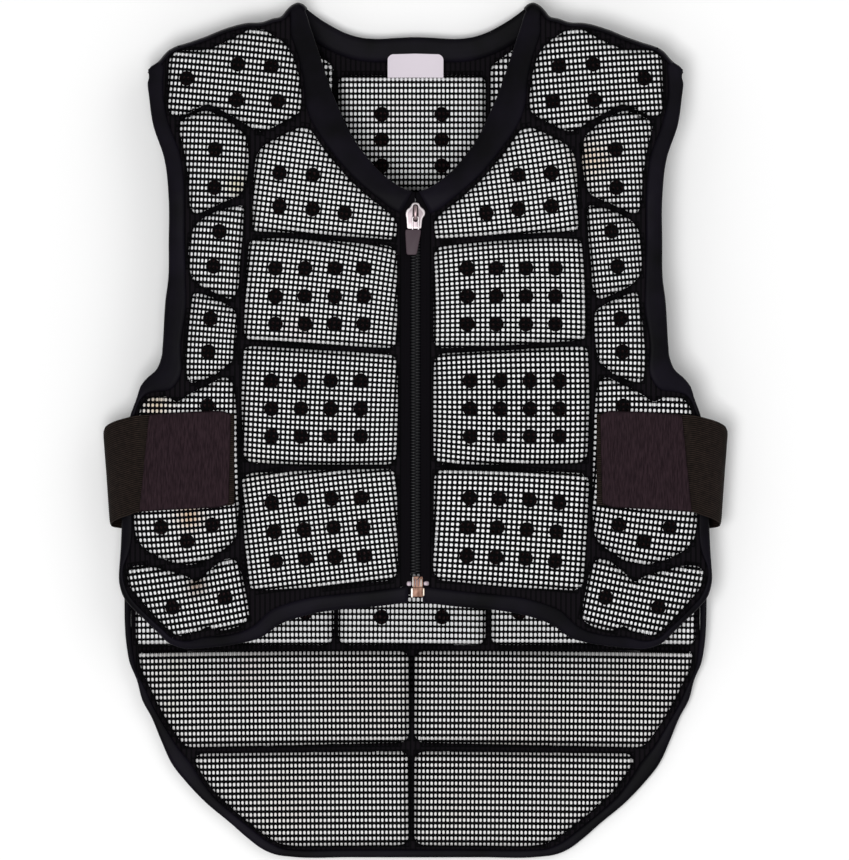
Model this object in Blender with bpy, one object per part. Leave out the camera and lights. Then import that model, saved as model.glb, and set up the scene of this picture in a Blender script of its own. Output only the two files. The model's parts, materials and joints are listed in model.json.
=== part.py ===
# Rider's body protector: foam pads held between nets, zipped at the front and closed by two
# wide elastic side straps. It lies on its back, chest up, neck towards +Y, floor at Z = 0.
# "right" and "left" are the wearer's, so right is -X.
import bmesh
import bpy
import numpy as np
from mathutils import Vector
from mathutils.geometry import delaunay_2d_cdt

# Driving sizes, in metres
BODY_LENGTH = 0.600  # neck peak to the tail's edge
HALF_WIDTH = 0.2086  # centre line to the side edge at the waist
FRONT_HEIGHT = 0.076  # floor to the front cover's middle plane at the ribs
BACK_LIFT = 0.018  # how far the back's sides curl up off the floor
PAD_RISE = 0.008  # foam outside a cover's middle plane
PAD_DROP = 0.006  # foam on its other side
PAD_BEVEL = 0.004  # width of a pad's rounded edge
VENT_DIAMETER = 0.0098
COVER_THICKNESS = 0.0015
BINDING_THICKNESS = 0.005
STRAP_THICKNESS = 0.0016
TAB_THICKNESS = 0.0020
LABEL_THICKNESS = 0.0008
TAPE_THICKNESS = 0.0012
TAPE_WIDTH = 0.0056
CHAIN_WIDTH = 0.0084
CHAIN_THICKNESS = 0.0030
BOX_WIDTH = 0.0092
BOX_THICKNESS = 0.0052
SLIDER_PLATE = 0.0015
BAIL_LENGTH = 0.0119
BAIL_HEIGHT = 0.0031
BAIL_WIDTH = 0.0018
PULL_LENGTH = 0.0263
PULL_WIDTH = 0.0106
PULL_BAR = 0.0011
PULL_TAB_THICKNESS = 0.0018
CLEARANCE = 0.0003  # between pieces that touch

VENT_SIDES = 6

# Places are (across, down): across is a share of HALF_WIDTH from the centre line, down is a
# share of BODY_LENGTH from the neck peak.

# Front cover's middle plane. Columns: down, height at the centre line and how much lower the
# side edge is, both as shares of FRONT_HEIGHT.
FRONT_PLANE = (
    (0.000, 0.50, 0.06),
    (0.068, 0.64, 0.13),
    (0.150, 0.80, 0.22),
    (0.225, 0.92, 0.30),
    (0.275, 0.92, 0.33),
    (0.394, 1.00, 0.38),
    (0.458, 1.00, 0.40),
    (0.606, 1.00, 0.43),
    (0.660, 0.97, 0.43),
    (0.745, 0.90, 0.41),
)
FRONT_CURVE = 2.2

# Back cover's middle plane. Columns: down, lift at the centre line and further lift at the
# side edge, both as shares of BACK_LIFT.
BACK_PLANE = (
    (0.00, 0.60, 0.30),
    (0.07, 0.35, 0.40),
    (0.15, 0.10, 0.55),
    (0.22, 0.00, 0.70),
    (0.40, 0.00, 0.90),
    (0.69, 0.00, 1.00),
    (0.80, 0.00, 0.35),
    (0.88, 0.00, 0.10),
    (1.00, 0.00, 0.00),
)
BACK_FLAT_SHARE = 0.5

# Front pads of one side
FRONT_PADS = {
    "shoulder_pad": {
        "outline": (
            (0.8272, 0.0681), (0.8037, 0.0614), (0.7567, 0.0587), (0.7097, 0.0611),
            (0.6795, 0.0558), (0.6225, 0.0447), (0.5587, 0.0342), (0.5117, 0.0342),
            (0.4413, 0.0476), (0.4094, 0.0628), (0.3909, 0.0862), (0.3792, 0.1188),
            (0.3876, 0.1305), (0.4849, 0.1486), (0.5252, 0.1527), (0.6091, 0.1346),
            (0.6963, 0.1183), (0.7701, 0.1323), (0.8138, 0.1340), (0.8305, 0.1258),
        ),
        "vents": (
            (0.7668, 0.0897), (0.5956, 0.0733), (0.4815, 0.0756), (0.5990, 0.1153),
            (0.4614, 0.1165),
        ),
    },
    "upper_side_pad": {
        "outline": (
            (0.7987, 0.1422), (0.7534, 0.1311), (0.6997, 0.1264), (0.6258, 0.1381),
            (0.5654, 0.1574), (0.5570, 0.1842), (0.5671, 0.2122), (0.5856, 0.2262),
            (0.6443, 0.2344), (0.7349, 0.2490), (0.7550, 0.2420), (0.7617, 0.2029),
            (0.7752, 0.1737),
        ),
        "vents": (
            (0.6708, 0.1725), (0.6728, 0.2175),
        ),
    },
    "middle_side_pad": {
        "outline": (
            (0.7164, 0.2531), (0.6560, 0.2432), (0.5738, 0.2367),
            (0.5789, 0.2753), (0.5896, 0.3103), (0.5906, 0.3325), (0.6124, 0.3488),
            (0.6628, 0.3412), (0.7232, 0.3313), (0.7550, 0.3185), (0.7607, 0.2893),
            (0.7466, 0.2648),
        ),
        "vents": (
            (0.6560, 0.2683), (0.6762, 0.3091),
        ),
    },
    "lower_side_pad": {
        "outline": (
            (0.7433, 0.3377), (0.6963, 0.3430), (0.6426, 0.3512), (0.6007, 0.3605),
            (0.5963, 0.3803), (0.6107, 0.4200), (0.6728, 0.4358), (0.7332, 0.4440),
            (0.7617, 0.4445), (0.7718, 0.4165), (0.7584, 0.3710),
        ),
        "vents": (
            (0.6862, 0.3698), (0.6930, 0.4084),
        ),
    },
    "waist_side_pad": {
        "outline": (
            (0.9262, 0.4772), (0.9094, 0.4656), (0.8842, 0.4609), (0.8305, 0.4597),
            (0.7970, 0.4685), (0.7651, 0.4586), (0.6963, 0.4469), (0.6426, 0.4370),
            (0.6158, 0.4410), (0.6057, 0.4527), (0.5956, 0.4924), (0.5923, 0.5928),
            (0.5973, 0.6220), (0.6191, 0.6331), (0.6997, 0.6518), (0.7634, 0.6576),
            (0.8473, 0.6500), (0.9077, 0.6389), (0.9346, 0.6278), (0.9446, 0.6080),
        ),
        "vents": (
            (0.6963, 0.4714), (0.8520, 0.6127), (0.6805, 0.6097), (0.7651, 0.6290),
        ),
    },
    "hem_pad": {
        "outline": (
            (0.9698, 0.6646), (0.9480, 0.6576), (0.9044, 0.6570), (0.8003, 0.6658),
            (0.7567, 0.6710), (0.7332, 0.6780), (0.7047, 0.6669), (0.6695, 0.6564),
            (0.6342, 0.6488), (0.6023, 0.6494), (0.5822, 0.6652), (0.5621, 0.7002),
            (0.5554, 0.7189), (0.5822, 0.7271), (0.6393, 0.7329), (0.6795, 0.7323),
            (0.6963, 0.7265), (0.7131, 0.7323), (0.7869, 0.7405), (0.8205, 0.7352),
            (0.8742, 0.7166), (0.9597, 0.6827),
        ),
        "vents": (
            (0.8138, 0.7060), (0.6359, 0.6944),
        ),
    },
    "chest_pad": {
        "outline": (
            (0.5336, 0.1795), (0.5084, 0.1673), (0.4312, 0.1533), (0.3742, 0.1451),
            (0.3507, 0.1498), (0.2970, 0.1772), (0.2232, 0.2076), (0.1493, 0.2309),
            (0.0956, 0.2449), (0.0621, 0.2554), (0.0621, 0.2671), (0.0671, 0.2782),
            (0.2802, 0.2729), (0.4513, 0.2692), (0.5453, 0.2683),
            (0.5403, 0.1982),
        ),
        "vents": (
            (0.4547, 0.2006), (0.3440, 0.2029), (0.4547, 0.2391), (0.3440, 0.2426),
            (0.2366, 0.2473),
        ),
    },
    "upper_rib_pad": {
        "outline": (
            (0.5554, 0.2776), (0.4513, 0.2759), (0.2802, 0.2794), (0.0822, 0.2852),
            (0.0621, 0.2928), (0.0604, 0.3979), (0.0789, 0.4043), (0.3205, 0.4008),
            (0.5621, 0.3949), (0.5738, 0.3873), (0.5705, 0.3360),
        ),
        "vents": (
            (0.4681, 0.3115), (0.3691, 0.3115), (0.2701, 0.3115), (0.1728, 0.3115),
            (0.4681, 0.3442), (0.3691, 0.3442), (0.2701, 0.3442), (0.1728, 0.3442),
            (0.4681, 0.3763), (0.3691, 0.3763), (0.2701, 0.3763), (0.1728, 0.3763),
        ),
    },
    "middle_rib_pad": {
        "outline": (
            (0.5772, 0.4049), (0.5554, 0.4014), (0.3205, 0.4066), (0.0822, 0.4105),
            (0.0621, 0.4177), (0.0587, 0.4644), (0.0604, 0.5309), (0.0822, 0.5397),
            (0.3540, 0.5395), (0.5520, 0.5379), (0.5755, 0.5309), (0.5829, 0.4644),
        ),
        "vents": (
            (0.4815, 0.4422), (0.3826, 0.4422), (0.2836, 0.4422), (0.1829, 0.4422),
            (0.4815, 0.4747), (0.3826, 0.4747), (0.2836, 0.4747), (0.1829, 0.4747),
            (0.4815, 0.5070), (0.3826, 0.5070), (0.2836, 0.5070), (0.1829, 0.5070),
        ),
    },
    "lower_rib_pad": {
        "outline": (
            (0.5822, 0.5555), (0.5554, 0.5494), (0.3205, 0.5461), (0.0856, 0.5444),
            (0.0621, 0.5519), (0.0611, 0.5928), (0.0587, 0.6640), (0.0755, 0.6739),
            (0.3171, 0.6821), (0.5419, 0.6862), (0.5621, 0.6792), (0.5705, 0.6395),
        ),
        "vents": (
            (0.4805, 0.5839), (0.3815, 0.5808), (0.2802, 0.5792), (0.1812, 0.5783),
            (0.4715, 0.6176), (0.3721, 0.6152), (0.2735, 0.6127), (0.1745, 0.6127),
            (0.4668, 0.6520), (0.3678, 0.6488), (0.2688, 0.6472), (0.1721, 0.6456),
        ),
    },
}

# Back pads on the centre line
SPINE_PADS = {
    "neck_pad": {
        "outline": (
            (0.2232, 0.0902), (0.0000, 0.0897), (-0.2232, 0.0902), (-0.2433, 0.0978),
            (-0.2483, 0.1609), (-0.2483, 0.2146), (-0.2299, 0.2216), (0.2299, 0.2216),
            (0.2483, 0.2146), (0.2483, 0.1609), (0.2433, 0.0978),
        ),
        "vents": (
            (0.1007, 0.1299), (-0.1007, 0.1299), (0.1007, 0.1597), (-0.1007, 0.1597),
            (0.1007, 0.1901), (-0.1007, 0.1901),
        ),
    },
    "upper_spine_pad": {
        "outline": (
            (0.2299, 0.2274), (-0.2299, 0.2274), (-0.2483, 0.2344), (-0.2483, 0.3920),
            (-0.2299, 0.3990), (0.2299, 0.3990), (0.2483, 0.3920), (0.2483, 0.2344),
        ),
        "vents": (),
    },
    "middle_spine_pad": {
        "outline": (
            (0.2299, 0.4049), (-0.2299, 0.4049), (-0.2483, 0.4119), (-0.2483, 0.5695),
            (-0.2299, 0.5765), (0.2299, 0.5765), (0.2483, 0.5695), (0.2483, 0.4119),
        ),
        "vents": (),
    },
    "lower_spine_pad": {
        "outline": (
            (0.2299, 0.5823), (-0.2299, 0.5823), (-0.2483, 0.5893), (-0.2483, 0.7446),
            (-0.2299, 0.7510), (0.2299, 0.7510), (0.2483, 0.7446), (0.2483, 0.5893),
        ),
        "vents": ((0.1020, 0.7183), (-0.1020, 0.7183)),
    },
}

# Back pads of one side
BACK_PADS = {
    "shoulder_blade_pad": {
        "outline": (
            (0.8272, 0.0745), (0.8003, 0.0651), (0.6359, 0.0441), (0.5151, 0.0360),
            (0.4413, 0.0406), (0.3406, 0.0546), (0.2735, 0.0792), (0.2651, 0.1142),
            (0.2651, 0.2146), (0.2836, 0.2216), (0.7433, 0.2216), (0.7617, 0.2146),
            (0.8339, 0.1095),
        ),
        "vents": (),
    },
    "upper_back_pad": {
        "outline": (
            (0.7399, 0.2274), (0.2836, 0.2274), (0.2651, 0.2344), (0.2651, 0.3920),
            (0.2836, 0.3990), (0.7634, 0.3990), (0.7775, 0.3920), (0.7651, 0.3465),
            (0.7601, 0.3243), (0.7574, 0.2811), (0.7591, 0.2344),
        ),
        "vents": (),
    },
    "middle_back_pad": {
        "outline": (
            (0.7668, 0.4049), (0.2836, 0.4049), (0.2651, 0.4119), (0.2651, 0.5695),
            (0.2836, 0.5765), (0.9111, 0.5765), (0.9252, 0.5695), (0.9094, 0.4994),
            (0.8893, 0.4726), (0.8305, 0.4545), (0.7903, 0.4352), (0.7785, 0.4119),
        ),
        "vents": (),
    },
    "lower_back_pad": {
        "outline": (
            (0.9111, 0.5823), (0.2836, 0.5823), (0.2651, 0.5893), (0.2651, 0.7446),
            (0.2836, 0.7510), (0.9279, 0.7510), (0.9419, 0.7446), (0.9396, 0.6687),
            (0.9285, 0.5893),
        ),
        "vents": ((0.3600, 0.7130),),
    },
    "upper_tail_pad": {
        "outline": (
            (0.9340, 0.7580), (0.0285, 0.7580), (0.0084, 0.7644), (0.0084, 0.8590),
            (0.0285, 0.8654), (0.7601, 0.8712), (0.7852, 0.8660), (0.8305, 0.8426),
            (0.8708, 0.8181), (0.8993, 0.7971), (0.9250, 0.7790),
        ),
        "vents": (),
    },
    "lower_tail_pad": {
        "outline": (
            (0.7265, 0.8782), (0.0285, 0.8759), (0.0084, 0.8823), (0.0084, 0.9792),
            (0.0285, 0.9856), (0.3876, 0.9868), (0.4413, 0.9848), (0.4883, 0.9769),
            (0.5755, 0.9535), (0.6661, 0.9255), (0.7064, 0.9068), (0.7433, 0.8870),
        ),
        "vents": (),
    },
}

# Bindings: a row per section. Columns: across and down of the free edge, then of the seam.
NECK_FRONT = (
    (0.3748, 0.0077, 0.4218, 0.0147),
    (0.3540, 0.0278, 0.4195, 0.0360),
    (0.3272, 0.0558, 0.3960, 0.0628),
    (0.3003, 0.0850, 0.3775, 0.0908),
    (0.2701, 0.1136, 0.3664, 0.1235),
    (0.2366, 0.1399, 0.3372, 0.1480),
    (0.1997, 0.1644, 0.2852, 0.1737),
    (0.1594, 0.1830, 0.2315, 0.1971),
    (0.1191, 0.1988, 0.1762, 0.2157),
    (0.0755, 0.2111, 0.1191, 0.2323),
    (0.0352, 0.2192, 0.0789, 0.2432),
    (0.0101, 0.2216, 0.0503, 0.2478),
)
FRONT_EDGE = (
    (0.8943, 0.0862, 0.8473, 0.0716),
    (0.8990, 0.0955, 0.8463, 0.0908),
    (0.8943, 0.1095, 0.8456, 0.1095),
    (0.8809, 0.1422, 0.8272, 0.1416),
    (0.8423, 0.1830, 0.7869, 0.1795),
    (0.8272, 0.2297, 0.7725, 0.2286),
    (0.8272, 0.2811, 0.7725, 0.2811),
    (0.8289, 0.3243, 0.7685, 0.3255),
    (0.8372, 0.3465, 0.7668, 0.3512),
    (0.8473, 0.4014, 0.7842, 0.4060),
    (0.8520, 0.4154, 0.7836, 0.4340),
    (0.8691, 0.4294, 0.8171, 0.4519),
    (0.9044, 0.4405, 0.8674, 0.4551),
    (0.9228, 0.4492, 0.8977, 0.4574),
    (0.9346, 0.4621, 0.9205, 0.4642),
    (0.9547, 0.4807, 0.9393, 0.4807),
    (0.9782, 0.5578, 0.9547, 0.5578),
    (0.9906, 0.6453, 0.9614, 0.6442),
    (0.9940, 0.6605, 0.9795, 0.6605),
    (0.9956, 0.6710, 0.9802, 0.6704),
    (0.9916, 0.6827, 0.9708, 0.6833),
    (0.9782, 0.6955, 0.9540, 0.6944),
    (0.9513, 0.7066, 0.9305, 0.7039),
    (0.9144, 0.7189, 0.8960, 0.7160),
    (0.8742, 0.7323, 0.8540, 0.7294),
    (0.8205, 0.7492, 0.8087, 0.7426),
    (0.7802, 0.7539, 0.7752, 0.7450),
    (0.7064, 0.7533, 0.7097, 0.7405),
    (0.6292, 0.7504, 0.6326, 0.7379),
    (0.5721, 0.7469, 0.5738, 0.7327),
    (0.5252, 0.7422, 0.5403, 0.7265),
    (0.4547, 0.7259, 0.4849, 0.7090),
    (0.3876, 0.7171, 0.4111, 0.6990),
    (0.3339, 0.7125, 0.3473, 0.6938),
    (0.2534, 0.7084, 0.2601, 0.6903),
    (0.1560, 0.7055, 0.1594, 0.6868),
    (0.0236, 0.7002, 0.0236, 0.6809),
)
NECK_BACK = (
    (0.3698, 0.0097, 0.4195, 0.0184),
    (0.3339, 0.0167, 0.3775, 0.0360),
    (0.2836, 0.0266, 0.3238, 0.0494),
    (0.2366, 0.0348, 0.2634, 0.0599),
    (0.1862, 0.0400, 0.1997, 0.0669),
    (0.1292, 0.0418, 0.1342, 0.0692),
    (0.0654, 0.0406, 0.0654, 0.0686),
    (0.0000, 0.0397, 0.0000, 0.0681),
)
BACK_EDGE = (
    (0.8926, 0.0867, 0.8473, 0.0733),
    (0.8926, 0.1095, 0.8463, 0.1107),
    (0.8742, 0.1422, 0.8305, 0.1428),
    (0.8339, 0.1830, 0.7886, 0.1807),
    (0.8188, 0.2297, 0.7718, 0.2286),
    (0.8171, 0.2811, 0.7701, 0.2811),
    (0.8205, 0.3243, 0.7725, 0.3243),
    (0.8289, 0.3465, 0.7775, 0.3488),
    (0.8389, 0.4014, 0.7903, 0.4060),
    (0.8507, 0.4200, 0.8020, 0.4329),
    (0.8742, 0.4340, 0.8406, 0.4510),
    (0.9027, 0.4457, 0.8792, 0.4621),
    (0.9211, 0.4597, 0.9010, 0.4714),
    (0.9413, 0.4831, 0.9211, 0.4971),
    (0.9614, 0.5461, 0.9359, 0.5484),
    (0.9748, 0.6162, 0.9446, 0.6162),
    (0.9782, 0.6687, 0.9520, 0.6687),
    (0.9715, 0.7539, 0.9513, 0.7539),
    (0.9614, 0.7726, 0.9396, 0.7796),
    (0.9379, 0.7924, 0.9117, 0.8006),
    (0.9211, 0.8146, 0.8842, 0.8216),
    (0.8876, 0.8368, 0.8440, 0.8461),
    (0.8574, 0.8625, 0.8003, 0.8707),
    (0.8205, 0.8905, 0.7567, 0.8893),
    (0.7701, 0.9127, 0.7198, 0.9092),
    (0.7164, 0.9325, 0.6812, 0.9273),
    (0.6191, 0.9611, 0.5906, 0.9553),
    (0.5654, 0.9775, 0.5386, 0.9699),
    (0.5185, 0.9897, 0.4950, 0.9813),
    (0.4715, 0.9967, 0.4446, 0.9891),
    (0.4144, 0.9994, 0.3909, 0.9909),
    (0.2198, 0.9999, 0.2198, 0.9907),
    (0.0000, 1.0000, 0.0000, 0.9907),
)

# Shoulder fold that joins front and back, from armhole to neck. Columns as for bindings.
SHOULDER_FOLD = (
    (0.9060, 0.0821, 0.8933, 0.0845),
    (0.8977, 0.0762, 0.8862, 0.0795),
    (0.8674, 0.0698, 0.8594, 0.0732),
    (0.8289, 0.0558, 0.8211, 0.0595),
    (0.7500, 0.0453, 0.7456, 0.0495),
    (0.7064, 0.0399, 0.7017, 0.0441),
    (0.6426, 0.0309, 0.6383, 0.0351),
    (0.5654, 0.0238, 0.5624, 0.0284),
    (0.5151, 0.0229, 0.5121, 0.0273),
    (0.4815, 0.0188, 0.4762, 0.0231),
    (0.4513, 0.0161, 0.4419, 0.0195),
    (0.4346, 0.0091, 0.4238, 0.0118),
    (0.4161, 0.0030, 0.4077, 0.0068),
    (0.3926, 0.0000, 0.3889, 0.0044),
    (0.3725, 0.0023, 0.3789, 0.0061),
)
FOLD_COVER_ROWS = slice(3, 11)  # the rows that meet a cover, not a binding

# Binding's section. Columns: share of the way from free edge to seam, height as a share of
# BINDING_THICKNESS.
BINDING_SECTION = ((0.0, 0.0), (0.2, 0.45), (1.0, 0.5), (1.0, -0.5), (0.2, -0.45))

# Shoulder fold's section. Columns: share of the way from free edge to seam, share of its height.
FOLD_SECTION = ((1.0, 0.0), (0.2, 0.15), (0.0, 0.5), (0.2, 0.85), (1.0, 1.0))

# Zip. The last two entries are the cover's corners beside the tape.
ZIP_TOP = 0.2500
ZIP_BOTTOM = 0.6676
CHAIN_TOP = 0.2461
COVER_SIDE = 0.0503
COVER_CORNER = 0.6820

SLIDER_PLAN = (
    (0.0000, 0.2351), (0.0168, 0.2373), (0.0302, 0.2426), (0.0336, 0.2484),
    (0.0268, 0.2566), (0.0201, 0.2659), (-0.0201, 0.2659), (-0.0268, 0.2566),
    (-0.0336, 0.2484), (-0.0302, 0.2426), (-0.0168, 0.2373),
)
# Box at the zip's lower end, with a wing each side. Columns: share of BOX_WIDTH, down.
BOX_PLAN = (
    (0.43, 0.6682), (0.43, 0.6751), (0.87, 0.6751), (0.87, 0.6803), (0.50, 0.6803), (0.50, 0.6935),
)
BOX_BEVEL_SHARE = 0.12  # of BOX_THICKNESS
CHAIN_TOP_SHARE = 0.7  # width of the chain's flat top as a share of CHAIN_WIDTH
POST_SINK_SHARE = 0.5  # how far the post goes into the plates, as a share of SLIDER_PLATE
POST_DOWN = (0.2362, 0.2435)
POST_HALF_WIDTH = 0.0100
BAIL_DOWN = 0.2469

# Bail over the slider: two legs and the beam that joins them. Columns: shares of half
# BAIL_LENGTH where the block starts and ends, shares of BAIL_HEIGHT for its underside and top
# (a leg's underside is sunk in the plate), share of BAIL_WIDTH.
BAIL_BLOCKS = (
    (-1.00, -0.76, -0.20, 0.80, 1.0),
    (0.76, 1.00, -0.20, 0.80, 1.0),
    (-0.88, 0.88, 0.66, 1.00, 0.9),
)
HINGE_FROM_BAIL = 0.52  # share of half BAIL_LENGTH, towards the tail

# Pull from above. Columns: share of PULL_LENGTH from the hinge line, half width as a share of
# PULL_WIDTH.
PULL_PLAN = (
    (0.260, 0.245), (0.300, 0.490), (0.360, 0.500), (0.955, 0.340), (1.000, 0.226),
)
PULL_EYE_END = 0.165
PULL_EYE_HALF_WIDTH = 0.132
PULL_NECK_HALF_WIDTH = 0.245
PULL_TAB_START = 0.27

# Side strap, from under its tab round the side edge to its seam under the back. Columns:
# across, level (1 lies on the front, 0 under the back), down of the top and bottom edges.
STRAP = (
    (0.629, 1.00, 0.4802, 0.5882),
    (0.706, 1.00, 0.4790, 0.5893),
    (0.773, 1.00, 0.4796, 0.5905),
    (0.841, 1.00, 0.4808, 0.5922),
    (0.891, 1.00, 0.4814, 0.5934),
    (0.935, 1.00, 0.4825, 0.5946),
    (0.978, 0.94, 0.4872, 0.5992),
    (1.018, 0.80, 0.4919, 0.6022),
    (1.040, 0.63, 0.4971, 0.6034),
    (1.045, 0.50, 0.5012, 0.6051),
    (1.040, 0.37, 0.5041, 0.6098),
    (1.018, 0.17, 0.5065, 0.6127),
    (0.978, 0.04, 0.5076, 0.6150),
    (0.935, 0.00, 0.5088, 0.6162),
    (0.870, 0.00, 0.5094, 0.6173),
    (0.797, 0.00, 0.5094, 0.6173),
)
TAB = (
    (0.6107, 1.00, 0.4813, 0.5858),
    (0.6292, 1.00, 0.4790, 0.5882),
    (0.7064, 1.00, 0.4778, 0.5905),
    (0.7735, 1.00, 0.4785, 0.5917),
    (0.8406, 1.00, 0.4796, 0.5928),
    (0.8909, 1.00, 0.4802, 0.5940),
    (0.9312, 1.00, 0.4813, 0.5952),
)

LABEL_PLAN = (
    (0.0940, 0.0906), (0.0940, 0.0640), (0.0822, 0.0599), (0.0000, 0.0591),
    (-0.0822, 0.0599), (-0.0940, 0.0640), (-0.0940, 0.0906),
)

# Materials. Columns: colour, roughness, metallic.
MATERIALS = {
    "foam": ((0.80, 0.80, 0.80), 0.75, 0.0),
    "cover": ((0.012, 0.012, 0.014), 0.80, 0.0),
    "binding": ((0.014, 0.014, 0.020), 0.65, 0.0),
    "elastic": ((0.030, 0.024, 0.022), 0.70, 0.0),
    "loop_tab": ((0.038, 0.028, 0.032), 0.90, 0.0),
    "label": ((0.78, 0.74, 0.80), 0.60, 0.0),
    "zip_tape": ((0.012, 0.012, 0.020), 0.80, 0.0),
    "zip_teeth": ((0.020, 0.020, 0.022), 0.45, 0.0),
    "slider_metal": ((0.72, 0.70, 0.68), 0.30, 1.0),
    "pull_plastic": ((0.12, 0.09, 0.11), 0.50, 0.0),
    "box_metal": ((0.45, 0.33, 0.27), 0.35, 1.0),
}
ROUNDED = ("foam", "binding")  # materials of the pieces that are shaded smooth
SIDES = (("right", -1), ("left", 1))


def place(across, down, side=1):
    return side * across * HALF_WIDTH, (0.5 - down) * BODY_LENGTH


def front_plane(x, y):
    down, centre, drop = np.array(FRONT_PLANE).T
    at = 0.5 - y / BODY_LENGTH
    fall = np.interp(at, down, drop) * (abs(x) / HALF_WIDTH) ** FRONT_CURVE
    return (np.interp(at, down, centre) - fall) * FRONT_HEIGHT


def back_plane(x, y):
    down, centre, curl = np.array(BACK_PLANE).T
    at = 0.5 - y / BODY_LENGTH
    reach = max(0.0, (abs(x) / HALF_WIDTH - BACK_FLAT_SHARE) / (1 - BACK_FLAT_SHARE))
    return PAD_DROP + BACK_LIFT * (np.interp(at, down, centre) + np.interp(at, down, curl) * reach**2)


def raised(plane, offset):
    return lambda x, y: plane(x, y) + offset


def inset(loop, distance):
    """The closed loop moved inwards by distance, outwards where that is negative."""
    points = np.array(loop)
    along = np.roll(points, -1, 0) - points
    along /= np.linalg.norm(along, axis=1)[:, None]
    turn = np.sum(points[:, 0] * np.roll(points[:, 1], -1) - points[:, 1] * np.roll(points[:, 0], -1))
    inward = np.stack([-along[:, 1], along[:, 0]], 1) * np.sign(turn)
    before = np.roll(inward, 1, 0)
    widen = np.maximum(1 + np.sum(inward * before, 1), 0.5)
    moved = points + (inward + before) * (distance / widen)[:, None]
    return [tuple(point) for point in moved]


def encloses(loop, point):
    inside = False
    for (ax, ay), (bx, by) in zip(loop, loop[1:] + loop[:1], strict=True):
        if (ay > point[1]) != (by > point[1]):
            if point[0] < ax + (bx - ax) * (point[1] - ay) / (by - ay):
                inside = not inside
    return inside


def filled(outline, holes):
    """Triangles between an outline and its holes, and each loop as places in the points."""
    scale = 1000.0
    loops = [outline, *holes]
    points = [Vector(point) * scale for loop in loops for point in loop]
    edges = []
    starts = []
    start = 0
    for loop in loops:
        starts.append(start)
        edges += [(start + i, start + (i + 1) % len(loop)) for i in range(len(loop))]
        start += len(loop)
    found, _, faces, came_from, _, _ = delaunay_2d_cdt(points, edges, [], 0, 1e-5)
    flat = [(point.x / scale, point.y / scale) for point in found]
    kept = []
    for face in faces:
        centre = tuple(sum(flat[i][k] for i in face) / len(face) for k in range(2))
        if encloses(outline, centre) and not any(encloses(hole, centre) for hole in holes):
            kept.append(face)
    now = {old: new for new, olds in enumerate(came_from) for old in olds}
    rims = [[now[begin + i] for i in range(len(loop))] for begin, loop in zip(starts, loops, strict=True)]
    return flat, kept, rims


def bridge(mesh, one, other):
    for i in range(len(one)):
        j = (i + 1) % len(one)
        mesh.faces.new((one[i], one[j], other[j], other[i]))


def finish(name, mesh, material, origin=None):
    """Turns the built mesh into a named object with its material."""
    bmesh.ops.triangulate(mesh, faces=mesh.faces[:])
    bmesh.ops.recalc_face_normals(mesh, faces=mesh.faces[:])
    corners = np.array([vertex.co[:] for vertex in mesh.verts])
    middle = Vector((corners.min(0) + corners.max(0)) / 2) if origin is None else Vector(origin)
    bmesh.ops.translate(mesh, verts=mesh.verts[:], vec=-middle)
    data = bpy.data.meshes.new(name)
    mesh.to_mesh(data)
    mesh.free()
    thing = bpy.data.objects.new(name, data)
    thing.location = middle
    data.materials.append(material_of(material))
    data.polygons.foreach_set("use_smooth", [material in ROUNDED] * len(data.polygons))
    bpy.context.scene.collection.objects.link(thing)
    return thing


def material_of(name):
    if name in bpy.data.materials:
        return bpy.data.materials[name]
    colour, roughness, metallic = MATERIALS[name]
    material = bpy.data.materials.new(name)
    material.use_nodes = True
    shader = material.node_tree.nodes["Principled BSDF"]
    shader.inputs["Base Color"].default_value = (*colour, 1.0)
    shader.inputs["Roughness"].default_value = roughness
    shader.inputs["Metallic"].default_value = metallic
    material.diffuse_color = (*colour, 1.0)
    return material


def layered(name, material, outline, holes, levels, origin=None):
    """A body with flat-on outline and holes. levels lists (inset, height), lowest first."""
    mesh = bmesh.new()
    points, faces, rims = filled(inset(outline, levels[0][0]), holes)
    low = [mesh.verts.new((x, y, levels[0][1](x, y))) for x, y in points]
    high = [mesh.verts.new((x, y, levels[-1][1](x, y))) for x, y in points]
    for face in faces:
        mesh.faces.new([low[i] for i in reversed(face)])
        mesh.faces.new([high[i] for i in face])
    for rim in rims[1:]:
        bridge(mesh, [low[i] for i in rim], [high[i] for i in rim])
    rings = [[low[i] for i in rims[0]]]
    for distance, height in levels[1:-1]:
        rings.append([mesh.verts.new((x, y, height(x, y))) for x, y in inset(outline, distance)])
    rings.append([high[i] for i in rims[0]])
    for below, above in zip(rings, rings[1:]):
        bridge(mesh, below, above)
    return finish(name, mesh, material, origin)


def swept(name, material, rings):
    """A body through rings of points, closed by a cap at each end."""
    mesh = bmesh.new()
    made = [[mesh.verts.new(point) for point in ring] for ring in rings]
    for one, other in zip(made, made[1:]):
        bridge(mesh, one, other)
    mesh.faces.new(made[0])
    mesh.faces.new(list(reversed(made[-1])))
    return finish(name, mesh, material)


def vent(centre):
    turn = np.linspace(0, 2 * np.pi, VENT_SIDES, endpoint=False) + np.pi / VENT_SIDES
    radius = VENT_DIAMETER / 2
    return [(centre[0] + radius * np.cos(a), centre[1] + radius * np.sin(a)) for a in turn]


def loop_of(table, side):
    return [place(across, down, side) for across, down in table]


def pad(name, outline, vents, plane):
    levels = ((PAD_BEVEL, raised(plane, -PAD_DROP)), (0.0, plane), (PAD_BEVEL, raised(plane, PAD_RISE)))
    layered(name, "foam", outline, [vent(centre) for centre in vents], levels)


def cover(name, outline, pads, plane):
    gaps = [inset(pad_outline, -CLEARANCE) for pad_outline in pads]
    half = COVER_THICKNESS / 2
    levels = ((0.0, raised(plane, -half)), (0.0, raised(plane, half)))
    layered(name, "cover", inset(outline, CLEARANCE), gaps, levels)


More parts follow.
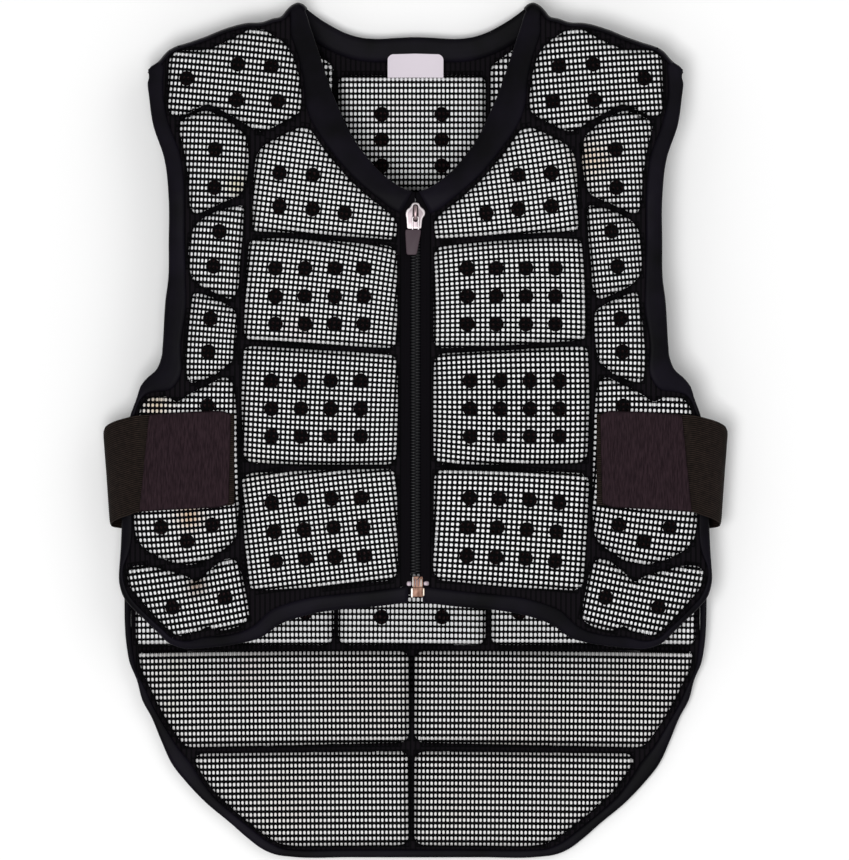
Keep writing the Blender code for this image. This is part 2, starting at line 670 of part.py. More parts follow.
def both_ends(table, side):
    return [(place(a, b, side), place(c, d, side)) for a, b, c, d in table]


def whole_round(table):
    """A half table's rows on the right, then mirrored back up the left."""
    return both_ends(table, -1) + both_ends(table[:-1], 1)[::-1]


def binding(name, rows, plane):
    rings = []
    for free, seam in rows:
        ring = []
        for share, height in BINDING_SECTION:
            x = free[0] + (seam[0] - free[0]) * share
            y = free[1] + (seam[1] - free[1]) * share
            ring.append((x, y, plane(x, y) + height * BINDING_THICKNESS))
        rings.append(ring)
    swept(name, "binding", rings)


def shoulder_fold(name, side):
    rings = []
    for free, seam in both_ends(SHOULDER_FOLD, side):
        low = back_plane(*seam) - BINDING_THICKNESS / 2
        high = front_plane(*seam) + BINDING_THICKNESS / 2
        ring = []
        for share, level in FOLD_SECTION:
            x = free[0] + (seam[0] - free[0]) * share
            y = free[1] + (seam[1] - free[1]) * share
            ring.append((x, y, low + (high - low) * level))
        rings.append(ring)
    swept(name, "binding", rings)


def strap(name, material, table, side, thickness, above):
    """A flat band. above is the height of its middle over the pads it lies on."""
    rings = []
    for across, level, top, bottom in table:
        ends = [place(across, down, side) for down in (top, bottom)]
        places = []
        for x, y in ends:
            on_front = front_plane(x, y) + PAD_RISE + above
            under_back = back_plane(x, y) - PAD_DROP - above
            places.append(Vector((x, y, under_back + (on_front - under_back) * level)))
        rings.append(places)
    middles = [(one + other) / 2 for one, other in rings]
    bodies = []
    for i, (one, other) in enumerate(rings):
        ahead = middles[min(i + 1, len(middles) - 1)] - middles[max(i - 1, 0)]
        out = ahead.cross(other - one).normalized() * (thickness / 2)
        bodies.append((one + out, other + out, other - out, one - out))
    swept(name, material, bodies)


def stops(top, bottom):
    """Down shares where a piece on the front's centre line bends."""
    return [top, *[row[0] for row in FRONT_PLANE if top < row[0] < bottom], bottom]


def bar(name, material, section, top, bottom):
    rings = []
    for down in stops(top, bottom):
        ring = []
        for x, height in section:
            y = place(0, down)[1]
            ring.append((x, y, front_plane(0, y) + height))
        rings.append(ring)
    swept(name, material, rings)


def zip_parts():
    inner = CHAIN_WIDTH / 2 + CLEARANCE
    half = TAPE_THICKNESS / 2
    for word, side in SIDES:
        xs = (side * inner, side * (inner + TAPE_WIDTH))
        section = ((xs[0], -half), (xs[1], -half), (xs[1], half), (xs[0], half))
        bar(f"zip_tape_{word}", "zip_tape", section, ZIP_TOP, ZIP_BOTTOM)
    wide = CHAIN_WIDTH / 2
    narrow = wide * CHAIN_TOP_SHARE
    tall = CHAIN_THICKNESS / 2
    section = ((-wide, 0), (-narrow, tall), (narrow, tall), (wide, 0), (narrow, -tall), (-narrow, -tall))
    bar("zip_chain", "zip_teeth", section, CHAIN_TOP, ZIP_BOTTOM)

    tall = BOX_THICKNESS / 2
    bevel = BOX_THICKNESS * BOX_BEVEL_SHARE
    outline = [(share * BOX_WIDTH, place(0, down)[1]) for share, down in BOX_PLAN]
    outline += [(-x, y) for x, y in reversed(outline)]
    levels = (
        (bevel, raised(front_plane, -tall)),
        (0.0, raised(front_plane, -tall + bevel)),
        (0.0, raised(front_plane, tall - bevel)),
        (bevel, raised(front_plane, tall)),
    )
    layered("zip_box", "box_metal", outline, [], levels)
    slider_and_pull()


def solid_slab(name, outline, low, high):
    return layered(name, "slider_metal", outline, [], ((0.0, lambda x, y: low), (0.0, lambda x, y: high)))


def slider_and_pull():
    middle = front_plane(0, place(0, BAIL_DOWN)[1])
    inside = CHAIN_THICKNESS / 2 + CLEARANCE
    outside = inside + SLIDER_PLATE
    plan = [place(across, down) for across, down in SLIDER_PLAN]
    slider = solid_slab("zip_slider", plan, middle + inside, middle + outside)
    lower = solid_slab("lower_plate", plan, middle - outside, middle - inside)
    wide = POST_HALF_WIDTH * HALF_WIDTH
    top, bottom = (place(0, down)[1] for down in POST_DOWN)
    post_plan = [(-wide, bottom), (wide, bottom), (wide, top), (-wide, top)]
    sink = SLIDER_PLATE * POST_SINK_SHARE
    post = solid_slab("post", post_plan, middle - inside - sink, middle + inside + sink)
    bail_y = place(0, BAIL_DOWN)[1]
    added = [lower, post]
    for start, end, under, over, wide in BAIL_BLOCKS:
        ys = (bail_y + start * BAIL_LENGTH / 2, bail_y + end * BAIL_LENGTH / 2)
        half = wide * BAIL_WIDTH / 2
        plan = [(-half, ys[0]), (half, ys[0]), (half, ys[1]), (-half, ys[1])]
        plate_top = middle + outside
        low, high = (plate_top + share * BAIL_HEIGHT for share in (under, over))
        added.append(solid_slab("bail", plan, low, high))
    for other in added:
        join = slider.modifiers.new("join", "BOOLEAN")
        join.operation = "UNION"
        join.solver = "EXACT"
        join.object = other
    settle(slider)
    for other in added:
        bpy.data.objects.remove(other)

    hinge_y = bail_y - HINGE_FROM_BAIL * BAIL_LENGTH / 2
    hinge_z = middle + outside + PULL_BAR / 2 + CLEARANCE
    bar_half = PULL_BAR / 2
    right = [(share * PULL_WIDTH, hinge_y - along * PULL_LENGTH) for along, share in PULL_PLAN]
    neck = PULL_NECK_HALF_WIDTH * PULL_WIDTH
    outline = [(neck, hinge_y + bar_half), *right]
    outline += [(-x, y) for x, y in reversed(outline)]
    eye = PULL_EYE_HALF_WIDTH * PULL_WIDTH
    eye_end = hinge_y - PULL_EYE_END * PULL_LENGTH
    hole = [(eye, hinge_y - bar_half), (-eye, hinge_y - bar_half), (-eye, eye_end), (eye, eye_end)]

    def half_height(y):
        return (PULL_TAB_THICKNESS if hinge_y - y > PULL_TAB_START * PULL_LENGTH else PULL_BAR) / 2

    levels = ((0.0, lambda x, y: hinge_z - half_height(y)), (0.0, lambda x, y: hinge_z + half_height(y)))
    layered("zip_pull", "pull_plastic", outline, [hole], levels, (0.0, hinge_y, hinge_z))


def settle(thing):
    """Replaces an object's mesh by what its modifiers make, as triangles."""
    bpy.context.view_layer.update()
    shape = thing.evaluated_get(bpy.context.evaluated_depsgraph_get())
    mesh = bmesh.new()
    mesh.from_mesh(bpy.data.meshes.new_from_object(shape))
    thing.modifiers.clear()
    bmesh.ops.remove_doubles(mesh, verts=mesh.verts[:], dist=1e-6)
    bmesh.ops.dissolve_limit(mesh, angle_limit=0.01, verts=mesh.verts[:], edges=mesh.edges[:])
    bmesh.ops.triangulate(mesh, faces=mesh.faces[:])
    mesh.to_mesh(thing.data)
    mesh.free()


def front_outline(side):
    fold = [seam for _, seam in both_ends(SHOULDER_FOLD[FOLD_COVER_ROWS], side)]
    neck = [seam for _, seam in both_ends(NECK_FRONT, side)]
    edge = [seam for _, seam in both_ends(FRONT_EDGE[:-1], side)]
    corners = [place(COVER_SIDE, COVER_CORNER, side)]
    return fold + neck + corners + edge[::-1]


def back_outline():
    halves = []
    for side in (-1, 1):
        edge = [seam for _, seam in both_ends(BACK_EDGE, side)]
        fold = [seam for _, seam in both_ends(SHOULDER_FOLD[FOLD_COVER_ROWS], side)]
        neck = [seam for _, seam in both_ends(NECK_BACK, side)]
        halves.append(edge[::-1] + fold + neck)
    return halves[0] + halves[1][::-1][1:-1]


def build():
    for thing in list(bpy.data.objects):
        bpy.data.objects.remove(thing)
    back_loops = []
    for name, table in SPINE_PADS.items():
        outline = loop_of(table["outline"], -1)
        back_loops.append(outline)
        pad(name, outline, loop_of(table["vents"], -1), back_plane)
    for word, side in SIDES:
        loops = []
        for name, table in FRONT_PADS.items():
            outline = loop_of(table["outline"], side)
            loops.append(outline)
            pad(f"{name}_{word}", outline, loop_of(table["vents"], side), front_plane)
        cover(f"front_cover_{word}", front_outline(side), loops, front_plane)
        for name, table in BACK_PADS.items():
            outline = loop_of(table["outline"], side)
            back_loops.append(outline)
            pad(f"{name}_{word}", outline, loop_of(table["vents"], side), back_plane)
        binding(f"neck_binding_{word}", both_ends(NECK_FRONT, side), front_plane)
        binding(f"front_edge_binding_{word}", both_ends(FRONT_EDGE, side), front_plane)
        shoulder_fold(f"shoulder_fold_{word}", side)
        strap_middle = CLEARANCE + STRAP_THICKNESS / 2
        tab_middle = 2 * CLEARANCE + STRAP_THICKNESS + TAB_THICKNESS / 2
        strap(f"side_strap_{word}", "elastic", STRAP, side, STRAP_THICKNESS, strap_middle)
        strap(f"strap_tab_{word}", "loop_tab", TAB, side, TAB_THICKNESS, tab_middle)
    cover("back_cover", back_outline(), back_loops, back_plane)
    binding("back_neck_binding", whole_round(NECK_BACK), back_plane)
    binding("back_edge_binding", whole_round(BACK_EDGE), back_plane)
    label_low = BINDING_THICKNESS / 2 + CLEARANCE
    label_high = label_low + LABEL_THICKNESS
    label_levels = ((0.0, raised(back_plane, label_low)), (0.0, raised(back_plane, label_high)))
    layered("neck_label", "label", [place(*spot) for spot in LABEL_PLAN], [], label_levels)
    zip_parts()


build()
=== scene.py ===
import json

import bpy
import numpy as np
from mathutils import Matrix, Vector
from mathutils.geometry import delaunay_2d_cdt


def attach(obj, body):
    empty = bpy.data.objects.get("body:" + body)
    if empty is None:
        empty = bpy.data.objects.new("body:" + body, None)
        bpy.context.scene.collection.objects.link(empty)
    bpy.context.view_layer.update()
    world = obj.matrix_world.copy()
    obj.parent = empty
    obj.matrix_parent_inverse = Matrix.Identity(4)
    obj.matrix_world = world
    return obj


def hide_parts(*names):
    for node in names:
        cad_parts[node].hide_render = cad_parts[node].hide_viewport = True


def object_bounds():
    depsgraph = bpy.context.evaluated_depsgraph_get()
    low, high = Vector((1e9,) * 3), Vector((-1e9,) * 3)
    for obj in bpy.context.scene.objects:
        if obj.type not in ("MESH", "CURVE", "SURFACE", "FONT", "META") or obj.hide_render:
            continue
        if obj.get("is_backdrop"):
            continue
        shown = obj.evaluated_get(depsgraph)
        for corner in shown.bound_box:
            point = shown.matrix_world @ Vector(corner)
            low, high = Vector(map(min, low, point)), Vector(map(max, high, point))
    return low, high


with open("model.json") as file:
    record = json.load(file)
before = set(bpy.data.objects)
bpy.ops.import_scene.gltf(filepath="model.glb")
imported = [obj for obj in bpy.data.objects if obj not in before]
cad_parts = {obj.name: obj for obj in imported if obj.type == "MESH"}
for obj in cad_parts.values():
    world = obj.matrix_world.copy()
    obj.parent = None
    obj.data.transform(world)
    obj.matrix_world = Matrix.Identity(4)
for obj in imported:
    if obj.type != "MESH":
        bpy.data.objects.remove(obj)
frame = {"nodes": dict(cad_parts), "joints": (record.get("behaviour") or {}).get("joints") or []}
cadLow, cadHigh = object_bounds()

# Metres. padRise and padDrop leave room for the net over the foam.
sizes = {
    "bodyLength": 0.600,
    "halfWidth": 0.2086,
    "frontHeight": 0.076,
    "backLift": 0.018,
    "cadRise": 0.008,
    "cadDrop": 0.006,
    "padRise": 0.0074,
    "padDrop": 0.0050,
    "padReach": 0.0080,
    "ventRadius": 0.0052,
    "cadVent": 0.0049,
}
# Photo pixels: centre line, neck peak, half width, length
photo = {"centre": 415.5, "top": 2.2, "across": 298.0, "down": 856.6, "width": 849, "height": 860}

# Columns: down, height at the centre line, drop at the side edge
frontRows = np.array((
    (0.000, 0.50, 0.06), (0.068, 0.64, 0.13), (0.150, 0.80, 0.22), (0.225, 0.92, 0.30), (0.275, 0.92, 0.33),
    (0.394, 1.00, 0.38), (0.458, 1.00, 0.40), (0.606, 1.00, 0.43), (0.660, 0.97, 0.43), (0.745, 0.90, 0.41),
))
# Columns: down, lift at the centre line, further lift at the side edge
backRows = np.array((
    (0.00, 0.60, 0.30), (0.07, 0.35, 0.40), (0.15, 0.10, 0.55), (0.22, 0.00, 0.70), (0.40, 0.00, 0.90),
    (0.69, 0.00, 1.00), (0.80, 0.00, 0.35), (0.88, 0.00, 0.10), (1.00, 0.00, 0.00),
))
sides = (("right", -1), ("left", 1))


# Photo pixels to metres. The tables are read off the wearer's right; side 1 mirrors them.
def fromPhoto(table, side=-1):
    spots = np.array(table, float)
    x = (photo["centre"] - spots[..., 0]) / photo["across"] * sizes["halfWidth"] * side
    y = (0.5 - (spots[..., 1] - photo["top"]) / photo["down"]) * sizes["bodyLength"]
    return np.stack([x, y], -1)


# Height on the centre line less a drop that grows with the 2.2 power of the distance from it
def frontPlane(spots):
    down = 0.5 - spots[..., 1] / sizes["bodyLength"]
    reach = np.abs(spots[..., 0]) / sizes["halfWidth"]
    fall = np.interp(down, frontRows[:, 0], frontRows[:, 2]) * reach**2.2
    return (np.interp(down, frontRows[:, 0], frontRows[:, 1]) - fall) * sizes["frontHeight"]


# Flat to half the width, then curling up with the square of the distance
def backPlane(spots):
    down = 0.5 - spots[..., 1] / sizes["bodyLength"]
    reach = np.maximum(0, np.abs(spots[..., 0]) / sizes["halfWidth"] / 0.5 - 1)
    curl = np.interp(down, backRows[:, 0], backRows[:, 2]) * reach**2
    return sizes["cadDrop"] + sizes["backLift"] * (np.interp(down, backRows[:, 0], backRows[:, 1]) + curl)


# The back's middle lies nearer the wearer's right than the zip does: by lean at the middle, less by
# the square of the distance from it, nothing at the edges
def leaned(spots, lean=0.0027, edge=0.190):
    share = np.maximum(0, 1 - (spots[..., 0] / edge) ** 2)
    return spots - np.stack([lean * share, np.zeros_like(share)], -1)


# Share of a pad's full height at a depth inside its outline: steep at the edge, level at reach
def swell(depth, reach=sizes["padReach"]):
    return 1 - (1 - np.clip(depth / reach, 0, 1)) ** 3.2


# Distance from each spot to a loop's nearest edge, positive inside it
def depthInside(spots, loop):
    way = np.roll(loop, -1, 0) - loop
    out = spots[:, None] - loop
    share = np.clip((out * way).sum(2) / (way**2).sum(1), 0, 1)
    gap = np.linalg.norm(out - share[..., None] * way, axis=2).min(1)
    passes = (loop[:, 1] > spots[:, 1:]) != (loop[:, 1] + way[:, 1] > spots[:, 1:])
    rise = np.where(way[:, 1] == 0, 1e-12, way[:, 1])
    meets = loop[:, 0] + way[:, 0] * (spots[:, 1:] - loop[:, 1]) / rise
    inside = (passes & (spots[:, :1] < meets)).sum(1) % 2 == 1
    return np.where(inside, gap, -gap)


# A raster of the depth inside the nearest of several loops, for quick reading later
def depthMap(loops, step=0.0005, around=0.03):
    every = np.concatenate(loops)
    low = every.min(0) - around
    count = np.ceil((every.max(0) + around - low) / step).astype(int)
    values = np.full(count, -around)
    for loop in loops:
        first = np.maximum(((loop.min(0) - 0.004 - low) / step).astype(int), 0)
        last = ((loop.max(0) + 0.004 - low) / step).astype(int) + 1
        xs, ys = (np.arange(first[k], last[k]) for k in (0, 1))
        spots = low + np.stack(np.meshgrid(xs, ys, indexing="ij"), -1).reshape(-1, 2) * step
        depth = depthInside(spots, loop).reshape(len(xs), len(ys))
        block = (slice(first[0], last[0]), slice(first[1], last[1]))
        values[block] = np.maximum(values[block], depth)
    return {"low": low, "step": step, "values": values}


# The raster's value at each spot, blended between its four neighbours
def readMap(raster, spots):
    place = (spots - raster["low"]) / raster["step"]
    values = raster["values"]
    place = np.clip(place, 0, np.array(values.shape) - 1.001)
    cell = place.astype(int)
    share = place - cell
    i, j = cell[..., 0], cell[..., 1]
    a, b = share[..., 0], share[..., 1]
    low = values[i, j] * (1 - a) + values[i + 1, j] * a
    high = values[i, j + 1] * (1 - a) + values[i + 1, j + 1] * a
    return low * (1 - b) + high * b


# A loop with its corners cut, never by more than cut, then by less: round corners, straight sides
def rounded(loop, cut=0.002, rounds=3):
    for _ in range(rounds):
        way = np.roll(loop, -1, 0) - loop
        length = np.linalg.norm(way, axis=1)[:, None]
        step = way / length * np.minimum(length * 0.25, cut)
        loop = np.stack([loop + step, loop + way - step], 1).reshape(-1, 2)
        cut /= 2.5
    return loop


# The same loop with evenly spaced points
def evened(loop, spacing):
    closed = np.concatenate([loop, loop[:1]])
    run = np.concatenate([[0], np.cumsum(np.linalg.norm(np.diff(closed, axis=0), axis=1))])
    at = np.linspace(0, run[-1], int(np.ceil(run[-1] / spacing)), endpoint=False)
    return np.stack([np.interp(at, run, closed[:, k]) for k in (0, 1)], 1)


# A smooth line through points: cubic pieces whose slopes are the points' own gradients
def curved(points, count):
    flat = points.reshape(len(points), -1)
    run = np.concatenate([[0], np.cumsum(np.linalg.norm(np.diff(flat, axis=0), axis=1))])
    slope = np.gradient(flat, run, axis=0)
    at = np.linspace(0, run[-1], count)
    k = np.clip(np.searchsorted(run, at, side="right") - 1, 0, len(run) - 2)
    wide = (run[k + 1] - run[k])[:, None]
    t = (at - run[k])[:, None] / wide
    made = (2 * t**3 - 3 * t**2 + 1) * flat[k] + (t**3 - 2 * t**2 + t) * wide * slope[k]
    made += (3 * t**2 - 2 * t**3) * flat[k + 1] + (t**3 - t**2) * wide * slope[k + 1]
    return made.reshape(count, *points.shape[1:])


# Where a pad's outline lies off the solid's. Columns: photo x and y, reach, shift in x and in y.
shifts = {
    "shoulder_pad": ((176, 54, 12, 0, -4), (204, 54, 12, 0, -4), (256, 31, 20, 0, -2.5)),
    "shoulder_blade_pad": ((330, 64, 14, 3.5, -6),),
    "neck_pad": ((343, 86, 5, -1.5, -6), (349, 79.5, 5, -3, -4.5), (415.5, 79, 30, 0, -4.5),
                 (482, 79.5, 5, 3, -4.5), (488, 86, 5, 1.5, -6)),
}


# Each spot moved by its shifts, times a bell curve of its distance from their places
def shifted(name, spots, side=-1):
    moved = spots.copy()
    for x, y, reach, across, down in shifts.get(name, ()):
        centre = fromPhoto((x, y), side)
        way = fromPhoto((x + across, y + down), side) - centre
        wide = reach / photo["across"] * sizes["halfWidth"]
        moved += way * np.exp(-(((spots - centre) ** 2).sum(1)) / wide**2)[:, None]
    return moved


# One vector of each vertex or face
def readAll(items, what):
    values = np.empty(len(items) * 3, np.float32)
    items.foreach_get(what, values)
    return values.reshape(-1, 3)


# A pad's outline from its solid: the vertices in the cover's plane, in order round the middle
def outlineOf(node, plane):
    spots = readAll(frame["nodes"][node].data.vertices, "co").astype(float)
    flat = np.unique(np.round(spots[np.abs(spots[:, 2] - plane(spots)) < 2e-4][:, :2], 5), axis=0)
    out = flat - flat.mean(0)
    return flat[np.argsort(np.arctan2(out[:, 1], out[:, 0]))]


# Vent centres of a pad, from the upright walls of its solid: each wall's middle plus its normal
# times the hexagon's inner radius, averaged over the walls that agree
def ventsOf(node):
    polygons = frame["nodes"][node].data.polygons
    normals, middles = readAll(polygons, "normal"), readAll(polygons, "center")
    upright = np.abs(normals[:, 2]) < 1e-3
    guess = middles[upright, :2] + normals[upright, :2] * sizes["cadVent"] * np.cos(np.pi / 6)
    if not len(guess):
        return np.zeros((0, 2))
    near = np.linalg.norm(guess[:, None] - guess, axis=2) < 0.005
    return np.unique(np.round(near @ guess / near.sum(1)[:, None], 5), axis=0)


# A mesh object from corners and lists of faces, with the numbers of the corners that it uses
def makePiece(name, spots, *faces):
    data = bpy.data.meshes.new(name)
    wide = [np.asarray(f, np.int64) for f in faces if len(f)]
    loops = np.concatenate([f.ravel() for f in wide])
    totals = np.concatenate([np.full(len(f), f.shape[1]) for f in wide])
    used, loops = np.unique(loops, return_inverse=True)
    spots = np.asarray(spots, float)[used]
    data.vertices.add(len(spots))
    data.vertices.foreach_set("co", spots.ravel().astype(np.float32))
    data.loops.add(len(loops))
    data.loops.foreach_set("vertex_index", loops.ravel().astype(np.int32))
    data.polygons.add(len(totals))
    data.polygons.foreach_set("loop_start", (np.cumsum(totals) - totals).astype(np.int32))
    data.polygons.foreach_set("use_smooth", np.full(len(totals), True))
    data.update(calc_edges=True)
    data.validate()
    piece = bpy.data.objects.new(name, data)
    bpy.context.scene.collection.objects.link(piece)
    return piece, used


# Rings of points joined in order, with a flat end at each end or the last ring joined to the first
def ringFaces(rings, points, ends=True):
    i, j = np.meshgrid(np.arange(rings - 1), np.arange(points), indexing="ij")
    j2 = (j + 1) % points
    quads = np.stack([i * points + j, i * points + j2, (i + 1) * points + j2, (i + 1) * points + j], -1)
    caps = np.stack([np.arange(points)[::-1], np.arange(points) + (rings - 1) * points])
    return (quads.reshape(-1, 4), caps) if ends else (quads.reshape(-1, 4),)


# Angles once round, evenly spaced
def onceRound(points):
    return np.arange(points) / points * 2 * np.pi


# The four corners of a rectangle
def rectangle(across, along):
    return np.array([(across[i], along[j]) for i, j in ((0, 0), (1, 0), (1, 1), (0, 1))])


# A map that gives each corner of the piece its vertex's place
def addMap(piece, name, places):
    corner = np.empty(len(piece.data.loops), np.int32)
    piece.data.loops.foreach_get("vertex_index", corner)
    layer = piece.data.uv_layers.new(name=name)
    layer.data.foreach_set("uv", places[corner].astype(np.float32).ravel())


def dress(piece, material, body="vest", nodes=()):
    piece.data.materials.append(material)
    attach(piece, body)
    if nodes:
        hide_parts(*nodes)
    return piece


def addNode(tree, kind, settings=None, **inputs):
    made = tree.nodes.new(kind)
    for key, value in (settings or {}).items():
        setattr(made, key, value)
    for key, value in inputs.items():
        socket = made.inputs[int(key[1:]) if key[0] == "n" and key[1:].isdigit() else key.replace("_", " ")]
        if isinstance(value, bpy.types.NodeSocket):
            tree.links.new(value, socket)
        else:
            socket.default_value = value
    return made


def newMaterial(name, colour, roughness, metallic=0.0, shine=0.5):
    material = bpy.data.materials.new(name)
    material.use_nodes = True
    shader = material.node_tree.nodes["Principled BSDF"]
    shader.inputs["Specular IOR Level"].default_value = shine
    shader.inputs["Base Color"].default_value = (*colour, 1)
    shader.inputs["Roughness"].default_value = roughness
    shader.inputs["Metallic"].default_value = metallic
    return material, material.node_tree, shader


def addMath(tree, operation, first, second=0.0):
    return addNode(tree, "ShaderNodeMath", {"operation": operation}, n0=first, n1=second).outputs[0]


# Colour between two by a share. Each is three numbers or another node's output.
def addBlend(tree, share, *colours):
    low, high = ((*colour, 1) if isinstance(colour, tuple) else colour for colour in colours)
    return addNode(tree, "ShaderNodeMix", {"data_type": "RGBA"}, Factor=share, n6=low, n7=high).outputs[2]


# Noise in object space, its places stretched along the axes
def addNoise(tree, scale, detail, stretch=(1, 1, 1)):
    place = addNode(tree, "ShaderNodeTexCoord").outputs["Object"]
    place = addNode(tree, "ShaderNodeVectorMath", {"operation": "MULTIPLY"}, n0=place, n1=stretch).outputs[0]
    return addNode(tree, "ShaderNodeTexNoise", None, Vector=place, Scale=scale, Detail=detail).outputs["Fac"]


# How far a value's fraction lies from a half: 0 at the middle of a rib or square, 0.5 at its edge
def offMiddle(tree, value):
    return addMath(tree, "ABSOLUTE", addMath(tree, "SUBTRACT", addMath(tree, "FRACT", value), 0.5))


# Fine bump from noise
def addGrain(tree, shader, scale, distance, stretch=(1, 1, 1)):
    height = addNoise(tree, scale, 2.0, stretch)
    bump = addNode(tree, "ShaderNodeBump", None, Height=height, Distance=distance, Strength=1.0)
    tree.links.new(bump.outputs["Normal"], shader.inputs["Normal"])


# Colour that wanders between two by noise
def addMottle(tree, shader, dark, light, scale, stretch=(1, 1, 1)):
    noise = addNoise(tree, scale, 3.0, stretch)
    share = addNode(tree, "ShaderNodeMapRange", None, Value=noise, From_Min=0.35, From_Max=0.65).outputs[0]
    tree.links.new(addBlend(tree, share, dark, light), shader.inputs["Base Color"])


# Painted highlights on the ribs and painted shade in the grooves, along the piece's own map: rib number
# across it, with flecks
def addRibHighlightsAndShade(tree, shader, dark, light):
    ribs = addNode(tree, "ShaderNodeUVMap", {"uv_map": "ribs"}).outputs["UV"]
    gap = offMiddle(tree, addNode(tree, "ShaderNodeSeparateXYZ", None, Vector=ribs).outputs[1])
    rib = addNode(tree, "ShaderNodeMapRange", None, Value=gap, From_Min=0.10, From_Max=0.42)
    noise = addNoise(tree, 330.0, 2.0)
    fleck = addNode(tree, "ShaderNodeMapRange", None, Value=noise, From_Min=0.3, From_Max=0.7, To_Min=0.45)
    share = addMath(tree, "MULTIPLY", rib.outputs[0], fleck.outputs[0])
    tree.links.new(addBlend(tree, share, dark, light), shader.inputs["Base Color"])


foam, tree, shader = newMaterial("white_foam", (0.86, 0.86, 0.86), 0.8)
tint = addNode(tree, "ShaderNodeVertexColor", {"layer_name": "tint"})
tree.links.new(tint.outputs["Color"], shader.inputs["Base Color"])

net, tree, shader = newMaterial("black_net", (0.0015, 0.0015, 0.0018), 0.8, shine=0.03)

lycra, tree, shader = newMaterial("stretch_binding", (0.003, 0.003, 0.004), 0.5, shine=0.045)
addMottle(tree, shader, (0.0020, 0.0018, 0.0026), (0.0050, 0.0040, 0.0075), 28)
addGrain(tree, shader, 1500, 0.00010)

# Ribbed elastic, its ribs given painted highlights and its grooves painted shade
elastic, tree, shader = newMaterial("ribbed_elastic", (0.012, 0.009, 0.008), 0.75, shine=0.05)
addRibHighlightsAndShade(tree, shader, (0.0015, 0.0012, 0.0010), (0.030, 0.020, 0.016))

loopCloth, tree, shader = newMaterial("brushed_loop", (0.018, 0.013, 0.015), 0.95, shine=0.04)
addMottle(tree, shader, (0.012, 0.007, 0.009), (0.026, 0.015, 0.019), 420, (3, 0.35, 1))
addGrain(tree, shader, 1100, 0.00015)

tape, tree, shader = newMaterial("zip_tape", (0.0025, 0.002, 0.003), 0.8, shine=0.04)
addGrain(tree, shader, 1200, 0.00008, (1, 3, 1))

coil, tree, shader = newMaterial("zip_coil", (0.003, 0.003, 0.004), 0.32, shine=0.22)

# The slider's plates are a lighter metal than the inset face laid on them, so their rim shows a painted
# highlight
silver, tree, shader = newMaterial("slider_metal", (0.46, 0.42, 0.43), 0.42, 1.0)
pale, tree, shader = newMaterial("slider_face_painted_darker", (0.29, 0.245, 0.26), 0.42, 1.0)
rose, tree, shader = newMaterial("bail_metal", (0.32, 0.24, 0.25), 0.40, 1.0)
# Painted shade: a near-black plate on the slider's face, round and under the bail, where its hollow lies in
# shadow
hollowShade, tree, shader = newMaterial("slider_painted_shade", (0.006, 0.003, 0.004), 0.7, shine=0.05)
copper, tree, shader = newMaterial("box_copper", (0.14, 0.078, 0.055), 0.45, 1.0)
addMottle(tree, shader, (0.085, 0.045, 0.032), (0.21, 0.125, 0.095), 420, (1, 0.3, 1))
grey, tree, shader = newMaterial("box_silver", (0.15, 0.125, 0.14), 0.40, 1.0)
# Painted highlights: lighter copies of the box's metal for its lit edges and outer ribs
boxHighlight, tree, shader = newMaterial("box_painted_highlight", (0.46, 0.42, 0.39), 0.40, 1.0)
boxDimHighlight, tree, shader = newMaterial("box_painted_dim_highlight", (0.34, 0.29, 0.24), 0.40, 1.0)

plastic, tree, shader = newMaterial("pull_plastic", (0.050, 0.032, 0.041), 0.5, shine=0.2)
addGrain(tree, shader, 900, 0.00005)

satin, tree, shader = newMaterial("blank_label", (0.66, 0.60, 0.66), 0.6, shine=0.1)
addGrain(tree, shader, 1600, 0.00004, (1, 3, 1))

# Dark red-brown with specks: painted shade, the dim inside of the vest seen through the vents
ventShadeCloth, tree, shader = newMaterial("vent_painted_shade", (0.02, 0.012, 0.012), 0.9, shine=0.03)
addMottle(tree, shader, (0.004, 0.002, 0.002), (0.042, 0.024, 0.026), 900)

# Inner fabric: black in the seams, dark red-brown with specks at the vents as painted shade of the vest's
# dim inside, and over the foam a net drawn from the "weave" map, whose squares show white
innerCloth, tree, shader = newMaterial("inner_net", (0.003, 0.003, 0.004), 0.8, shine=0.05)
patch = addNode(tree, "ShaderNodeVertexColor", {"layer_name": "patch"}).outputs["Color"]
patch = addNode(tree, "ShaderNodeSeparateColor", None, Color=patch).outputs
weave = addNode(tree, "ShaderNodeUVMap", {"uv_map": "weave"}).outputs["UV"]
weave = addNode(tree, "ShaderNodeSeparateXYZ", None, Vector=weave).outputs
marks = [addMath(tree, "LESS_THAN", offMiddle(tree, weave[axis]), 0.33) for axis in (0, 1)]
overFoam = addMath(tree, "GREATER_THAN", patch[0], 0.6)
square = addMath(tree, "MULTIPLY", addMath(tree, "MULTIPLY", *marks), overFoam)
pleat = addBlend(tree, marks[0], (0.0010, 0.0010, 0.0014), (0.0048, 0.0036, 0.0052))
paintedVentShade = addBlend(tree, addNoise(tree, 900.0, 1.0), (0.004, 0.001, 0.001), (0.050, 0.024, 0.023))
ground = addBlend(tree, patch[1], pleat, paintedVentShade)
tree.links.new(addBlend(tree, square, ground, (0.80, 0.80, 0.80)), shader.inputs["Base Color"])

